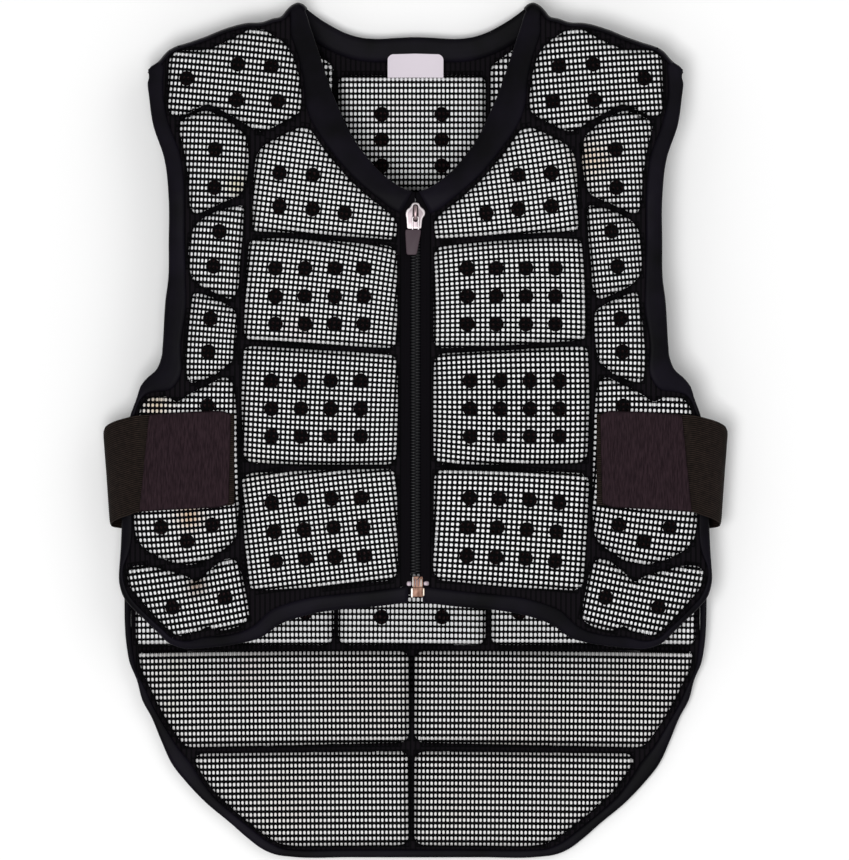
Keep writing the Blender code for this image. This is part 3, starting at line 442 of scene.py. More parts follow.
# The edges, read off the photo in pixels. Columns: free edge x and y, then seam x and y.
neckFront = (
    (300.5, 4.4, 289.2, 10.5), (303.8, 8.8, 290.2, 15.5), (310, 26, 290.5, 33), (318, 50, 297.5, 56),
    (326, 75, 303, 80),
    (335, 99.5, 306.3, 108), (345, 122, 315, 129), (356, 143, 330.5, 151), (368, 159, 346.5, 171),
    (380, 172.5, 363, 187), (393, 183, 380, 201.2), (405, 190, 392, 210.5), (412.5, 192, 400.5, 214.5),
)
frontEdge = (
    (148, 70, 158, 62.5), (149, 76, 163, 63.5), (147.6, 84, 163.3, 80), (149, 96, 163.5, 96),
    (153, 124, 169, 123.5),
    (164.5, 159, 181, 156), (169, 199, 185.3, 198), (169, 243, 185.3, 243), (168.5, 280, 186.5, 281),
    (166, 299, 187, 303), (163, 346, 181.8, 350), (161.6, 358, 182, 374), (156.5, 370, 172, 389.3),
    (146, 379.5, 157, 392), (140.5, 387, 148, 394), (137, 398, 141.2, 399.8), (131, 414, 135.6, 414),
    (124, 480, 131, 480), (120.3, 555, 129, 554), (119.3, 568, 123.6, 568), (118.8, 577, 123.4, 576.5),
    (120, 587, 126.2, 587.5), (124, 598, 131.2, 597), (132, 607.5, 138.2, 605.2), (143, 618, 148.5, 615.5),
    (155, 629.5, 161, 627), (171, 644, 174.5, 638.3), (183, 648, 184.5, 640.4), (205, 647.5, 204, 636.5),
    (228, 645, 227, 634.3), (245, 642, 244.5, 629.8), (259, 638, 254.5, 624.5), (280, 624, 271, 609.5),
    (300, 616.5, 293, 601), (316, 612.5, 312, 596.5), (340, 609, 338, 593.5), (369, 606.5, 368, 590.5),
    (408.3, 602, 408.3, 585.5),
)
shoulderFold = (
    (147.3, 72.6, 150.6, 74.0), (149.6, 67.4, 152.6, 70.0), (156.6, 62.4, 159.2, 65.4),
    (168.5, 50, 170.8, 53.2),
    (192, 41, 193.3, 44.6), (205, 36.4, 206.4, 40), (224, 28.7, 225.3, 32.3), (247, 22.6, 247.9, 26.5),
    (262, 21.8, 262.9, 25.6), (272, 18.3, 273.6, 22), (281, 16, 283.8, 18.9), (286, 10, 289.2, 12.3),
    (291.5, 4.8, 294, 8), (298.5, 2.2, 299.6, 6), (303, 3.8, 301.8, 7.6),
    (307.2, 7.8, 304.5, 10.8),
)
neckBack = (
    (304.6, 6.6, 290.5, 15), (308.8, 10, 295, 22), (317, 16.2, 303.5, 33), (331, 25, 319, 44.5),
    (345, 32, 337, 53.5),
    (360, 36.5, 356, 59.5), (377, 38, 375.5, 61.5), (396, 37, 396, 61), (415.5, 36.2, 415.5, 60.5),
)
backEdge = (
    (149.5, 76.5, 163, 65), (149.5, 96, 163.3, 97), (155, 124, 168, 124.5), (167, 159, 180.5, 157),
    (171.5, 199, 185.5, 198), (172, 243, 186, 243), (171, 280, 185.3, 280), (168.5, 299, 183.8, 301),
    (165.5, 346, 180, 350), (162, 362, 176.5, 373), (155, 374, 165, 388.5), (146.5, 384, 153.5, 398),
    (141, 396, 147, 406), (135, 416, 141, 428), (129, 470, 136.6, 472), (125, 530, 134, 530),
    (124, 575, 131.8, 575), (126, 648, 132, 648), (129, 664, 135.5, 670), (136, 681, 143.8, 688),
    (141, 700, 152, 706), (151, 719, 164, 727), (160, 741, 177, 748), (171, 765, 190, 764),
    (186, 784, 201, 781), (202, 801, 212.5, 796.5), (231, 825.5, 239.5, 820.5), (247, 839.5, 255, 833),
    (261, 850, 268, 842.8), (275, 856, 283, 849.5), (292, 858.3, 299, 851), (350, 858.7, 350, 850.8),
    (415.5, 858.8, 415.5, 850.8),
)


def rowsOf(table, side):
    return fromPhoto(np.array(table).reshape(-1, 2, 2), side)


# A half table on the right, then back up the left
def wholeRound(table):
    return np.concatenate([rowsOf(table, -1), rowsOf(table[:-1], 1)[::-1]])


# The covers' edge at the shoulder, half a fold's width inside its seam
def foldLine(side):
    rows = rowsOf(shoulderFold[3:11], side)
    return rows[:, 1] * 1.5 - rows[:, 0] * 0.5


def frontOutline(side):
    neck, edge = (rowsOf(t, side)[:, 1] for t in (neckFront[1:], frontEdge[1:-1]))
    corner = fromPhoto([(400.5, 586.4)], side)
    return np.concatenate([foldLine(side), neck, corner, edge[::-1]])


def backOutline():
    halves = []
    for _, side in sides:
        edge, neck = (rowsOf(t, side)[:, 1] for t in (backEdge[:0:-1], neckBack[1:]))
        halves.append(np.concatenate([edge, foldLine(side), neck]))
    return np.concatenate([halves[0], halves[1][::-1][1:-1]])


# Stains on the foam. Columns: x, y and radius in photo pixels, strength, colour. Both sides of the
# photo are given as they are there.
stains = (
    (592, 160, 16, 0.45, (0.80, 0.50, 0.20)), (237, 186, 10, 0.45, (0.66, 0.56, 0.16)),
    (157, 406, 12, 0.60, (0.60, 0.40, 0.14)), (190, 516, 12, 0.80, (0.62, 0.34, 0.12)),
    (197, 586, 9, 0.90, (0.25, 0.13, 0.06)), (300, 330, 14, 0.16, (0.80, 0.50, 0.52)),
    (262, 470, 20, 0.10, (0.75, 0.62, 0.40)), (370, 700, 40, 0.16, (0.62, 0.50, 0.40)),
    (520, 735, 45, 0.18, (0.62, 0.50, 0.42)), (290, 800, 36, 0.18, (0.66, 0.52, 0.42)),
    (455, 812, 30, 0.16, (0.64, 0.56, 0.44)), (172, 668, 16, 0.22, (0.62, 0.56, 0.42)),
    (170, 706, 8, 0.25, (0.62, 0.56, 0.36)), (250, 672, 20, 0.22, (0.66, 0.48, 0.46)),
    (640, 690, 26, 0.16, (0.62, 0.52, 0.42)), (400, 112, 18, 0.10, (0.80, 0.50, 0.50)),
)
frontWhite, tailWhite = (0.88, 0.88, 0.89), (0.80, 0.79, 0.79)
# Spacing of the outline's points, depths of the rings inside it, then the grid inside those
padSizes = {
    "spacing": 0.0030, "rings": (0.0006, 0.0015, 0.0030, 0.0050, 0.0075), "grid": 0.0048, "gridDepth": 0.0095,
    "ventPoints": 20, "ventRing": 0.0013, "ventClear": 0.003, "ventLip": 0.0007,
}


# White, mixed at each stain by its strength times a bell curve of the distance
def tintOf(spots, base):
    tone = np.tile(np.array(base, float), (len(spots), 1))
    for x, y, radius, strength, colour in stains:
        centre = fromPhoto((x, y), -1)
        reach = radius / photo["across"] * sizes["halfWidth"]
        share = strength * np.exp(-(((spots - centre) ** 2).sum(1)) / reach**2)
        tone += (np.array(colour) - tone) * share[:, None]
    return np.concatenate([tone, np.ones((len(tone), 1))], 1)


def addTint(piece, name, tone):
    layer = piece.data.color_attributes.new(name, "FLOAT_COLOR", "POINT")
    layer.data.foreach_set("color", tone.astype(np.float32).ravel())


# A ring of points round each centre
def circles(centres, radius, points):
    turn = onceRound(points)
    return (centres[:, None] + radius * np.stack([np.cos(turn), np.sin(turn)], -1)).reshape(-1, 2)


# A pad: its outline filled with triangles that meet its vents. The upper side stands padRise over
# the plane and the lower side padDrop under it, each times the swell of the depth inside the
# outline, so both come together at the outline. Vent rims are a little lower, joined by walls.
def makePad(name, plane, outline, vents, base):
    loop = evened(rounded(outline), padSizes["spacing"])
    way = np.roll(loop, -1, 0) - np.roll(loop, 1, 0)
    inward = np.stack([-way[:, 1], way[:, 0]], 1) / np.linalg.norm(way, axis=1)[:, None]
    rings = []
    for depth in padSizes["rings"]:
        ring = loop + inward * depth
        rings.append(ring[np.abs(depthInside(ring, loop) - depth) < 0.0002])
    axes = [np.arange(loop[:, k].min(), loop[:, k].max(), padSizes["grid"]) for k in (0, 1)]
    grid = np.stack(np.meshgrid(*axes), -1).reshape(-1, 2)
    free = np.concatenate([*rings, grid[depthInside(grid, loop) > padSizes["gridDepth"]]])
    points, radius = padSizes["ventPoints"], sizes["ventRadius"]
    rims = circles(vents, radius, points)
    if len(vents):
        far = np.linalg.norm(free[:, None] - vents, axis=2).min(1)
        ring = circles(vents, radius + padSizes["ventRing"], points)
        free = np.concatenate([free[far > radius + padSizes["ventClear"]], ring])
    given = np.concatenate([loop, rims, free])
    ahead = (np.arange(len(loop)) + 1) % len(loop)
    first = len(loop) + np.arange(len(vents))[:, None] * points
    step = np.arange(points)
    walls = np.stack([first + step, first + (step + 1) % points], -1).reshape(-1, 2)
    edges = np.concatenate([np.stack([np.arange(len(loop)), ahead], 1), walls]).tolist()
    found, _, faces, olds, _, _ = delaunay_2d_cdt([Vector(p) for p in given * 1000], edges, [], 0, 1e-5)
    flat = np.array([(p.x, p.y) for p in found]) / 1000
    faces = np.array(faces)
    middle = flat[faces].mean(1)
    keep = depthInside(middle, loop) > 0
    if len(vents):
        keep &= np.linalg.norm(middle[:, None] - vents, axis=2).min(1) > radius * 0.98
    faces = faces[keep]
    came = np.array([old[0] if old else -1 for old in olds])
    now = np.zeros(len(given), int)
    now[came] = np.arange(len(came))
    depth = np.maximum(depthInside(flat, loop), 0)
    onEdge = came < len(loop)
    depth[onEdge] = 0
    level = plane(flat)
    onRim = (came >= len(loop)) & (came < len(loop) + len(rims))
    lip = np.where(onRim, padSizes["ventLip"], 0)
    high = np.column_stack([flat, level + sizes["padRise"] * swell(depth) - lip])
    low = np.column_stack([flat, level - sizes["padDrop"] * swell(depth) + lip])
    under = np.where(onEdge, np.arange(len(flat)), np.arange(len(flat)) + len(flat))
    quads = now[walls]
    quads = np.column_stack([quads[:, 1], quads[:, 0], under[quads[:, 0]], under[quads[:, 1]]])
    piece, used = makePiece(name, np.concatenate([high, low]), faces, under[faces[:, ::-1]], quads)
    addTint(piece, "tint", tintOf(np.concatenate([flat, flat])[used], base))
    return piece


frontNames = (
    "shoulder_pad", "chest_pad", "upper_side_pad", "middle_side_pad", "lower_side_pad", "upper_rib_pad",
    "middle_rib_pad", "lower_rib_pad", "waist_side_pad", "hem_pad",
)
backNames = (
    "shoulder_blade_pad", "upper_back_pad", "middle_back_pad", "lower_back_pad", "upper_tail_pad",
    "lower_tail_pad",
)
spineNames = ("neck_pad", "upper_spine_pad", "middle_spine_pad", "lower_spine_pad")
frontLoops, frontVents, backLoops, backVents = {}, {}, {}, []
for word, side in sides:
    frontLoops[word], frontVents[word] = [], []
    for name in frontNames:
        node = f"{name}_{word}"
        outline, vents = shifted(name, outlineOf(node, frontPlane), side), ventsOf(node)
        frontLoops[word].append(evened(rounded(outline), padSizes["spacing"]))
        frontVents[word].append(vents)
        pad = makePad(f"foam_{node}", frontPlane, outline, vents, frontWhite)
        dress(pad, foam, nodes=[node])
    frontVents[word] = np.concatenate(frontVents[word])
for name in [*spineNames, *(f"{name}_{word}" for name in backNames for word, _ in sides)]:
    stem, _, word = name.rpartition("_pad")
    outline = leaned(shifted(stem + "_pad", outlineOf(name, backPlane), 1 if word == "_left" else -1))
    vents = leaned(ventsOf(name))
    backLoops[name] = evened(rounded(outline), padSizes["spacing"])
    backVents.append(vents)
    base = tailWhite if "tail" in name else frontWhite
    pad = makePad(f"foam_{name}", backPlane, outline, vents, base)
    dress(pad, foam, nodes=[name])
backVents = np.concatenate(backVents)
frontDepth = {word: depthMap(frontLoops[word]) for word, _ in sides}
backDepth = depthMap(list(backLoops.values()))
print("foam pads", sum(len(v) for v in frontLoops.values()) + len(backLoops), "vents", len(backVents))

# Each pad's net as the photo shows it. Columns: pitch across and down in photo pixels, then the
# turn of its rows in degrees, down towards the zip, at four corners: outer top, inner top, outer
# bottom, inner bottom. First row the wearer's right, second the left.
frontWeave = {
    "shoulder_pad": ((4.05, 5.90, 4, 8, 5, 6), (4.30, 5.85, 2, 6, 4, 6)),
    "chest_pad": ((4.63, 5.20, 9, 8, 8, 5), (4.85, 5.10, 10, 10, 9, 2)),
    "upper_side_pad": ((4.00, 5.87, 0, 6, 2, 3), (4.10, 5.85, 3, 9, 1, 4)),
    "middle_side_pad": ((3.75, 6.10, 2, 8, 2, 4), (3.85, 5.75, 4, 5, 6, 6)),
    "lower_side_pad": ((3.95, 5.40, 7, 8, -1, 2), (4.30, 5.60, 4, 5, -4, -2)),
    "upper_rib_pad": ((4.68, 5.15, 2, 14, 3, 5), (5.02, 4.93, -2, 10, -3, 0)),
    "middle_rib_pad": ((4.67, 5.15, 2, 6, 7, -4), (4.92, 5.30, -1, 6, 3, -9)),
    "lower_rib_pad": ((4.80, 5.18, -10, -4, -7, -7), (5.10, 5.30, -5, 0, -5, -4)),
    "waist_side_pad": ((4.35, 5.70, 2, 2, -2, -11), (4.50, 5.80, -3, 5, -4, -16)),
    "hem_pad": ((4.25, 6.05, -7, -12, -5, -13), (4.30, 6.10, -8, -13, -8, -16)),
}
backWeave = {
    "neck": (4.20, 5.75, 0, 0, 0, 0), "lower": (4.25, 5.95, -2, 1, -1, 0),
    "tail": (4.12, 6.12, -1, 0, -1, 0), "hidden": (4.60, 6.20, 0, 0, 0, 0),
}
# An opening's width and height as shares of the pitch, by the pads' names
netShare = {
    "shoulder_pad": (0.60, 0.59), "side_pad": (0.60, 0.59), "hem": (0.585, 0.575),
    "upper_rib": (0.622, 0.612), "middle_rib": (0.60, 0.59), "lower_rib": (0.605, 0.595),
    "chest": (0.64, 0.63), "neck": (0.65, 0.64),
    "tail": (0.60, 0.585), "lower_back": (0.672, 0.662), "lower_spine": (0.68, 0.67), "": (0.63, 0.62),
}


# Rows and columns of a pad's lattice, numbered from its middle, put in place by small steps: each
# cell adds its own turned pitch, so the turn may change over the pad. Rows add up down the middle
# column, columns along each row.
def weaveSpots(box, pitch, turns, side, cells):
    low, high = box
    middle = (low + high) / 2
    i, j = np.arange(-cells[0], cells[0] + 1), np.arange(-cells[1], cells[1] + 1)

    def turnAt(spots):
        inner = np.clip((high[0] - spots[..., 0]) / (high[0] - low[0]), 0, 1)
        inner = inner if side > 0 else 1 - inner
        down = np.clip((high[1] - spots[..., 1]) / (high[1] - low[1]), 0, 1)
        upper = turns[0] + (turns[1] - turns[0]) * inner
        under = turns[2] + (turns[3] - turns[2]) * inner
        return np.radians(upper + (under - upper) * down) * side

    spots = middle + np.stack(np.meshgrid(i * pitch[0], j * pitch[1], indexing="ij"), -1)
    for _ in range(3):
        turn = turnAt(spots)
        across = np.stack([np.cos(turn), np.sin(turn)], -1) * pitch[0]
        up = np.stack([-np.sin(turn), np.cos(turn)], -1) * pitch[1]
        column = np.cumsum(up[cells[0]], 0)
        column -= column[cells[1]]
        row = np.cumsum(across, 0)
        row -= row[cells[0]]
        spots = middle + column[None] + row
    return spots


netSizes = {"wall": 0.0008, "top": 0.0080, "bottom": 0.0006, "outside": 0.0018, "cornerCut": 0.55}


# A pad's net. Each opening has eight corners, and walls along its four long sides. Height is the
# plane and, from bottom to top, the swell of the depth inside the pad. Cells count where their
# middle lies inside the pad, or out of it by no more than half a cell.
def netOver(name, loop, plane, depths, weave, side):
    pitch = np.array(weave[:2]) / photo["across"] * sizes["halfWidth"]
    low, high = loop.min(0), loop.max(0)
    cells = np.ceil((high - low) / pitch * 0.62).astype(int) + 2
    knots = weaveSpots((low, high), pitch, weave[2:], side, cells)
    wide, tall = knots.shape[:2]
    at = np.arange(wide * tall).reshape(wide, tall)
    corners = np.stack([at[:-1, :-1], at[1:, :-1], at[1:, 1:], at[:-1, 1:]], -1).reshape(-1, 4)
    flat = knots.reshape(-1, 2)
    corners = corners[depthInside(flat[corners].mean(1), loop) > -netSizes["outside"]]
    share = np.array(next(value for key, value in netShare.items() if key in name))
    a, b = share / 2, share / 2 * netSizes["cornerCut"]
    rim = 0.5 + np.array(((-b[0], -a[1]), (b[0], -a[1]), (a[0], -b[1]), (a[0], b[1]),
                          (b[0], a[1]), (-b[0], a[1]), (-a[0], b[1]), (-a[0], -b[1])))
    u, v = rim[:, 0, None], rim[:, 1, None]
    c = flat[corners][:, :, None]
    holes = c[:, 0] * (1 - u) * (1 - v) + c[:, 1] * u * (1 - v) + c[:, 2] * u * v + c[:, 3] * (1 - u) * v
    spots = np.concatenate([flat, holes.reshape(-1, 2)])
    rise = netSizes["bottom"] + (netSizes["top"] - netSizes["bottom"]) * swell(readMap(depths, spots))
    spots = np.column_stack([spots, plane(spots) + rise])
    under = spots[len(flat):] - (0, 0, netSizes["wall"])
    h = len(flat) + np.arange(len(corners) * 8).reshape(-1, 8)
    count = len(corners) * 8
    ahead = [corners[:, (k + 1) % 4] for k in range(4)]
    long = [np.stack([corners[:, k], ahead[k], h[:, 2 * k + 1], h[:, 2 * k]], 1) for k in range(4)]
    first, last = h[:, 0::2], h[:, 1::2]
    walls = np.stack([first, last, last + count, first + count], -1).reshape(-1, 4)
    short = [np.stack([corners[:, k], h[:, 2 * k], h[:, (2 * k - 1) % 8]], 1) for k in range(4)]
    return np.concatenate([spots, under]), np.concatenate([*long, walls]), np.concatenate(short)


# Several pads' nets in one mesh
def makeNet(name, parts):
    starts = np.cumsum([0] + [len(p[0]) for p in parts[:-1]])
    quads = np.concatenate([p[1] + k for p, k in zip(parts, starts)])
    short = np.concatenate([p[2] + k for p, k in zip(parts, starts)])
    piece, _ = makePiece(name, np.concatenate([p[0] for p in parts]), quads, short)
    print(name, "triangles", 2 * len(quads) + len(short))
    return dress(piece, net)


# Spots that lie further than over outside a loop, moved to lie over outside it
def drawnIn(spots, loop, over=0.0010):
    way = np.roll(loop, -1, 0) - loop
    share = np.clip(((spots[:, None] - loop) * way).sum(2) / (way**2).sum(1), 0, 1)
    near = loop + share[..., None] * way
    gap = np.linalg.norm(spots[:, None] - near, axis=2)
    which = (np.arange(len(spots)), gap.argmin(1))
    back = near[which] + (spots - near[which]) / np.maximum(gap[which], 1e-9)[:, None] * over
    return np.where((depthInside(spots, loop) < -over)[:, None], back, spots)


sheetSizes = {
    "room": -0.0056, "thickness": 0.0006, "pitch": 0.0035, "spacing": 0.0030, "around": 0.004,
    "outside": 0.0020, "foamDepth": 0.0008, "ventRim": 0.0015,
}


# Fabric under pads: a grid over the outline, its border drawn in to it. It lies in the plane in the
# seams, and under the pads off it by room. "patch" says what shows: foam in red, a vent in green,
# where painted shade stands for the dim inside seen through it.
def makeSheet(name, plane, depths, vents, outline):
    spacing, around = sheetSizes["spacing"], sheetSizes["around"]
    low = outline.min(0) - around
    count = np.ceil((outline.max(0) + around - low) / spacing).astype(int)
    i, j = np.meshgrid(np.arange(count[0]), np.arange(count[1]), indexing="ij")
    middle = low + (np.stack([i, j], -1).reshape(-1, 2) + 0.5) * spacing
    keep = depthInside(middle, outline) > -sheetSizes["outside"]
    at = (i * (count[1] + 1) + j).ravel()[keep]
    quads = np.stack([at, at + count[1] + 1, at + count[1] + 2, at + 1], 1)
    grid = np.stack(np.meshgrid(*(np.arange(count[k] + 1) for k in (0, 1)), indexing="ij"), -1)
    flat = drawnIn(low + grid.reshape(-1, 2) * spacing, outline)
    depth = readMap(depths, flat)
    spots = np.column_stack([flat, plane(flat) + sheetSizes["room"] * swell(depth)])
    piece, used = makePiece(name, spots, quads)
    flat, depth = flat[used], depth[used]
    tone = np.zeros((len(flat), 4))
    tone[:, 0] = depth > sheetSizes["foamDepth"]
    if len(vents):
        rim = sizes["ventRadius"] + sheetSizes["ventRim"]
        tone[:, 1] = np.linalg.norm(flat[:, None] - vents, axis=2).min(1) < rim
        tone[:, 0] *= 1 - tone[:, 1]
    addTint(piece, "patch", tone)
    addMap(piece, "weave", flat / sheetSizes["pitch"])
    solid = piece.modifiers.new("thickness", "SOLIDIFY")
    solid.thickness = sheetSizes["thickness"]
    solid.offset = 0
    return piece, len(quads) * spacing**2


# A sheet over the outline's own width and length with the border around it
def addCover(name, node, plane, depths, vents, outline):
    cloth, area = makeSheet(name, plane, depths, vents, outline)
    dress(cloth, innerCloth, nodes=[node])


floorSizes = {"rise": 0.0034, "radius": 0.00535, "points": 16, "thickness": 0.0004}


# A dark mottled disc down in each vent, painted shade for the dim inside seen through it: a thin round piece
# in each, joined to nothing
def ventShadeDiscs(name, vents, plane):
    flat = circles(vents, floorSizes["radius"], floorSizes["points"])
    high = plane(flat) + floorSizes["rise"]
    under = np.column_stack([flat, high - floorSizes["thickness"]])
    spots = np.concatenate([np.column_stack([flat, high]), under])
    at = np.arange(len(flat)).reshape(-1, floorSizes["points"])
    ahead = np.roll(at, -1, 1)
    walls = np.stack([ahead, at, at + len(flat), ahead + len(flat)], -1).reshape(-1, 4)
    caps = np.concatenate([at, at[:, ::-1] + len(flat)])
    piece, _ = makePiece(name, spots, walls[:, ::-1], caps)
    return dress(piece, ventShadeCloth)


for word, side in sides:
    floors = ventShadeDiscs(f"vent_shade_discs_{word}", frontVents[word], frontPlane)
    parts = [
        netOver(name, loop, frontPlane, frontDepth[word], frontWeave[name][max(side, 0)], side)
        for name, loop in zip(frontNames, frontLoops[word])
    ]
    piece = makeNet(f"net_front_{word}", parts)
    addCover(f"inner_front_{word}", f"front_cover_{word}", frontPlane, frontDepth[word], frontVents[word],
             frontOutline(side))
nets = {"upper": [], "lower": []}
for name, loop in backLoops.items():
    kind = next((k for k in ("neck", "lower_spine", "lower_back", "tail") if k in name), "hidden")
    weave = backWeave[kind.split("_")[0]]
    side = -1 if name.endswith("right") else 1
    nets["lower" if kind in ("tail", "lower_spine", "lower_back") else "upper"].append(
        netOver(name, loop, backPlane, backDepth, weave, side))
nets = [makeNet(f"net_inner_back_{word}", parts) for word, parts in nets.items()]
nets.append(ventShadeDiscs("vent_shade_discs_back", backVents, backPlane))
addCover("outer_back", "back_cover", backPlane, backDepth, backVents, backOutline())
print("nets done")


bandSizes = {"spacing": 0.0030, "half": 0.0025, "crease": 0.0004, "creases": (0.34, 0.66), "points": 24}


# A band between a free edge and a seam. Round the section, share runs from free edge to seam and
# back as half a cosine, and height is a flattened sine with two shallow creases on top.
def makeBand(name, rows, plane):
    length = np.linalg.norm(np.diff(rows.mean(1), axis=0), axis=1).sum()
    lines = curved(rows, int(length / bandSizes["spacing"]))
    turn = onceRound(bandSizes["points"])
    share = 0.5 - 0.5 * np.cos(turn)
    height = np.sign(np.sin(turn)) * np.abs(np.sin(turn)) ** 0.7 * bandSizes["half"]
    for place in bandSizes["creases"]:
        dent = bandSizes["crease"] * np.exp(-(((share - place) / 0.05) ** 2))
        height -= np.where(height > 0, dent, 0)
    flat = lines[:, None, 0] + (lines[:, None, 1] - lines[:, None, 0]) * share[None, :, None]
    spots = np.concatenate([flat, (plane(flat) + height)[..., None]], -1)
    piece, _ = makePiece(name, spots.reshape(-1, 3), *ringFaces(len(lines), len(turn)))
    return piece


foldSizes = {"lines": 90, "points": 14, "over": 0.0022}


# The shoulder's fold: from the back's band up to the front's, bulging out half round
def makeFold(name, rows):
    lines = curved(rows, foldSizes["lines"])
    low = backPlane(lines[:, 1]) - foldSizes["over"]
    high = frontPlane(lines[:, 1]) + foldSizes["over"]
    turn = np.linspace(0, np.pi, foldSizes["points"])
    share = np.concatenate([1 - np.sin(turn) ** 0.8, [1.8, 1.8]])
    level = np.concatenate([0.5 - 0.5 * np.cos(turn), [0.7, 0.3]])
    flat = lines[:, None, 0] + (lines[:, None, 1] - lines[:, None, 0]) * share[None, :, None]
    z = low[:, None] + (high - low)[:, None] * level
    spots = np.concatenate([flat, z[..., None]], -1)
    piece, _ = makePiece(name, spots.reshape(-1, 3), *ringFaces(len(lines), len(share)))
    return piece


for word, side in sides:
    for stem, table in (("neck_binding", neckFront), ("front_edge_binding", frontEdge)):
        node = f"{stem}_{word}"
        dress(makeBand(f"cloth_{node}", rowsOf(table, side), frontPlane), lycra, nodes=[node])
    node = f"shoulder_fold_{word}"
    dress(makeFold(f"cloth_{node}", rowsOf(shoulderFold, side)), lycra, nodes=[node])
for node, table in (("back_neck_binding", neckBack), ("back_edge_binding", backEdge)):
    dress(makeBand(f"cloth_{node}", wholeRound(table), backPlane), lycra, nodes=[node])
print("bindings done")

# Columns: across of the upper and of the lower edge as shares of the half width, level from under
# the back to over the front, down of the two edges as shares of the length
strapRows = np.array((
    (0.606, 0.606, 1.00, 0.4808, 0.5862), (0.629, 0.629, 1.00, 0.4802, 0.5875),
    (0.706, 0.706, 1.00, 0.4790, 0.5893), (0.773, 0.773, 1.00, 0.4796, 0.5905),
    (0.841, 0.838, 1.00, 0.4808, 0.5922), (0.891, 0.886, 1.00, 0.4814, 0.5934),
    (0.935, 0.928, 1.00, 0.4825, 0.5952), (0.978, 0.966, 0.94, 0.4860, 0.5998),
    (1.018, 1.000, 0.80, 0.4905, 0.6040), (1.042, 1.020, 0.63, 0.4960, 0.6085),
    (1.046, 1.023, 0.50, 0.5005, 0.6110), (1.042, 1.017, 0.37, 0.5041, 0.6125),
    (1.018, 0.996, 0.17, 0.5065, 0.6140), (0.978, 0.962, 0.04, 0.5076, 0.6155),
    (0.935, 0.928, 0.00, 0.5088, 0.6162), (0.870, 0.870, 0.00, 0.5094, 0.6173),
    (0.797, 0.797, 0.00, 0.5094, 0.6173),
))
tabRows = np.array((
    (0.6180, 0.6250, 1.00, 0.4813, 0.5850), (0.6320, 0.6400, 1.00, 0.4788, 0.5876),
    (0.7064, 0.7090, 1.00, 0.4778, 0.5905), (0.7735, 0.7800, 1.00, 0.4785, 0.5917),
    (0.8300, 0.8450, 1.00, 0.4796, 0.5930), (0.8620, 0.8880, 1.00, 0.4804, 0.5940),
    (0.8900, 0.9240, 1.00, 0.4813, 0.5950),
))
strapSizes = {
    "above": 0.0011, "thickness": 0.0014, "ribs": 48, "ribHeight": 0.00016, "lines": 48, "points": 98,
}
tabSizes = {"above": 0.0032, "thickness": 0.0020, "ribs": 8, "ribHeight": 0.0, "lines": 48, "points": 40}


# A flat band along rows of paired edge points. Its section is a flattened oval; ribs along the
# band stand out by ribHeight, and the map "ribs" counts them.
def makeStrap(name, rows, side, made):
    x, y = side * rows[:, :2] * sizes["halfWidth"], (0.5 - rows[:, 3:]) * sizes["bodyLength"]
    ends = np.stack([x, y], -1)
    front = frontPlane(ends) + sizes["cadRise"] + made["above"]
    back = backPlane(ends) - sizes["cadDrop"] - made["above"]
    edges = np.concatenate([ends, (back + (front - back) * rows[:, 2, None])[..., None]], -1)
    lines = curved(edges, made["lines"])
    along = np.gradient(lines.mean(1), axis=0)
    out = np.cross(along, lines[:, 1] - lines[:, 0])
    out /= np.linalg.norm(out, axis=1)[:, None]
    share = np.linspace(0, 1, made["points"])
    half = made["thickness"] / 2 * (1 - np.abs(2 * share - 1) ** 24)
    rib = made["ribHeight"] * np.cos(share * made["ribs"] * 2 * np.pi) * (np.abs(2 * share - 1) < 0.97)
    share = np.concatenate([share, share[::-1]])
    lift = np.concatenate([half + rib, -(half + rib)[::-1]])
    spots = lines[:, None, 0] + (lines[:, 1] - lines[:, 0])[:, None] * share[None, :, None]
    spots += out[:, None] * lift[None, :, None]
    count = made["lines"]
    piece, _ = makePiece(name, spots.reshape(-1, 3), *ringFaces(count, len(share)))
    run = np.repeat(np.arange(count) / count, len(share))
    addMap(piece, "ribs", np.stack([run, np.tile(share * made["ribs"] + 0.5, count)], -1))
    width = np.linalg.norm(lines[:, 1] - lines[:, 0], axis=1).mean()
    return piece, (width, np.linalg.norm(np.diff(lines.mean(1), axis=0), axis=1).sum())


for word, side in sides:
    strap, flat = makeStrap(f"cloth_side_strap_{word}", strapRows, side, strapSizes)
    dress(strap, elastic, nodes=[f"side_strap_{word}"])
    tab, flat = makeStrap(f"cloth_strap_tab_{word}", tabRows, side, tabSizes)
    dress(tab, loopCloth, nodes=[f"strap_tab_{word}"])
print("straps done")

zipSizes = {"top": 0.2461, "bottom": 0.6676, "pitch": 0.0021, "toothRadius": 0.0007, "coreHalf": 0.0036}


# Height of the front on the centre line at a place y
def onZip(y):
    return frontPlane(np.stack([np.zeros_like(y), y], -1))


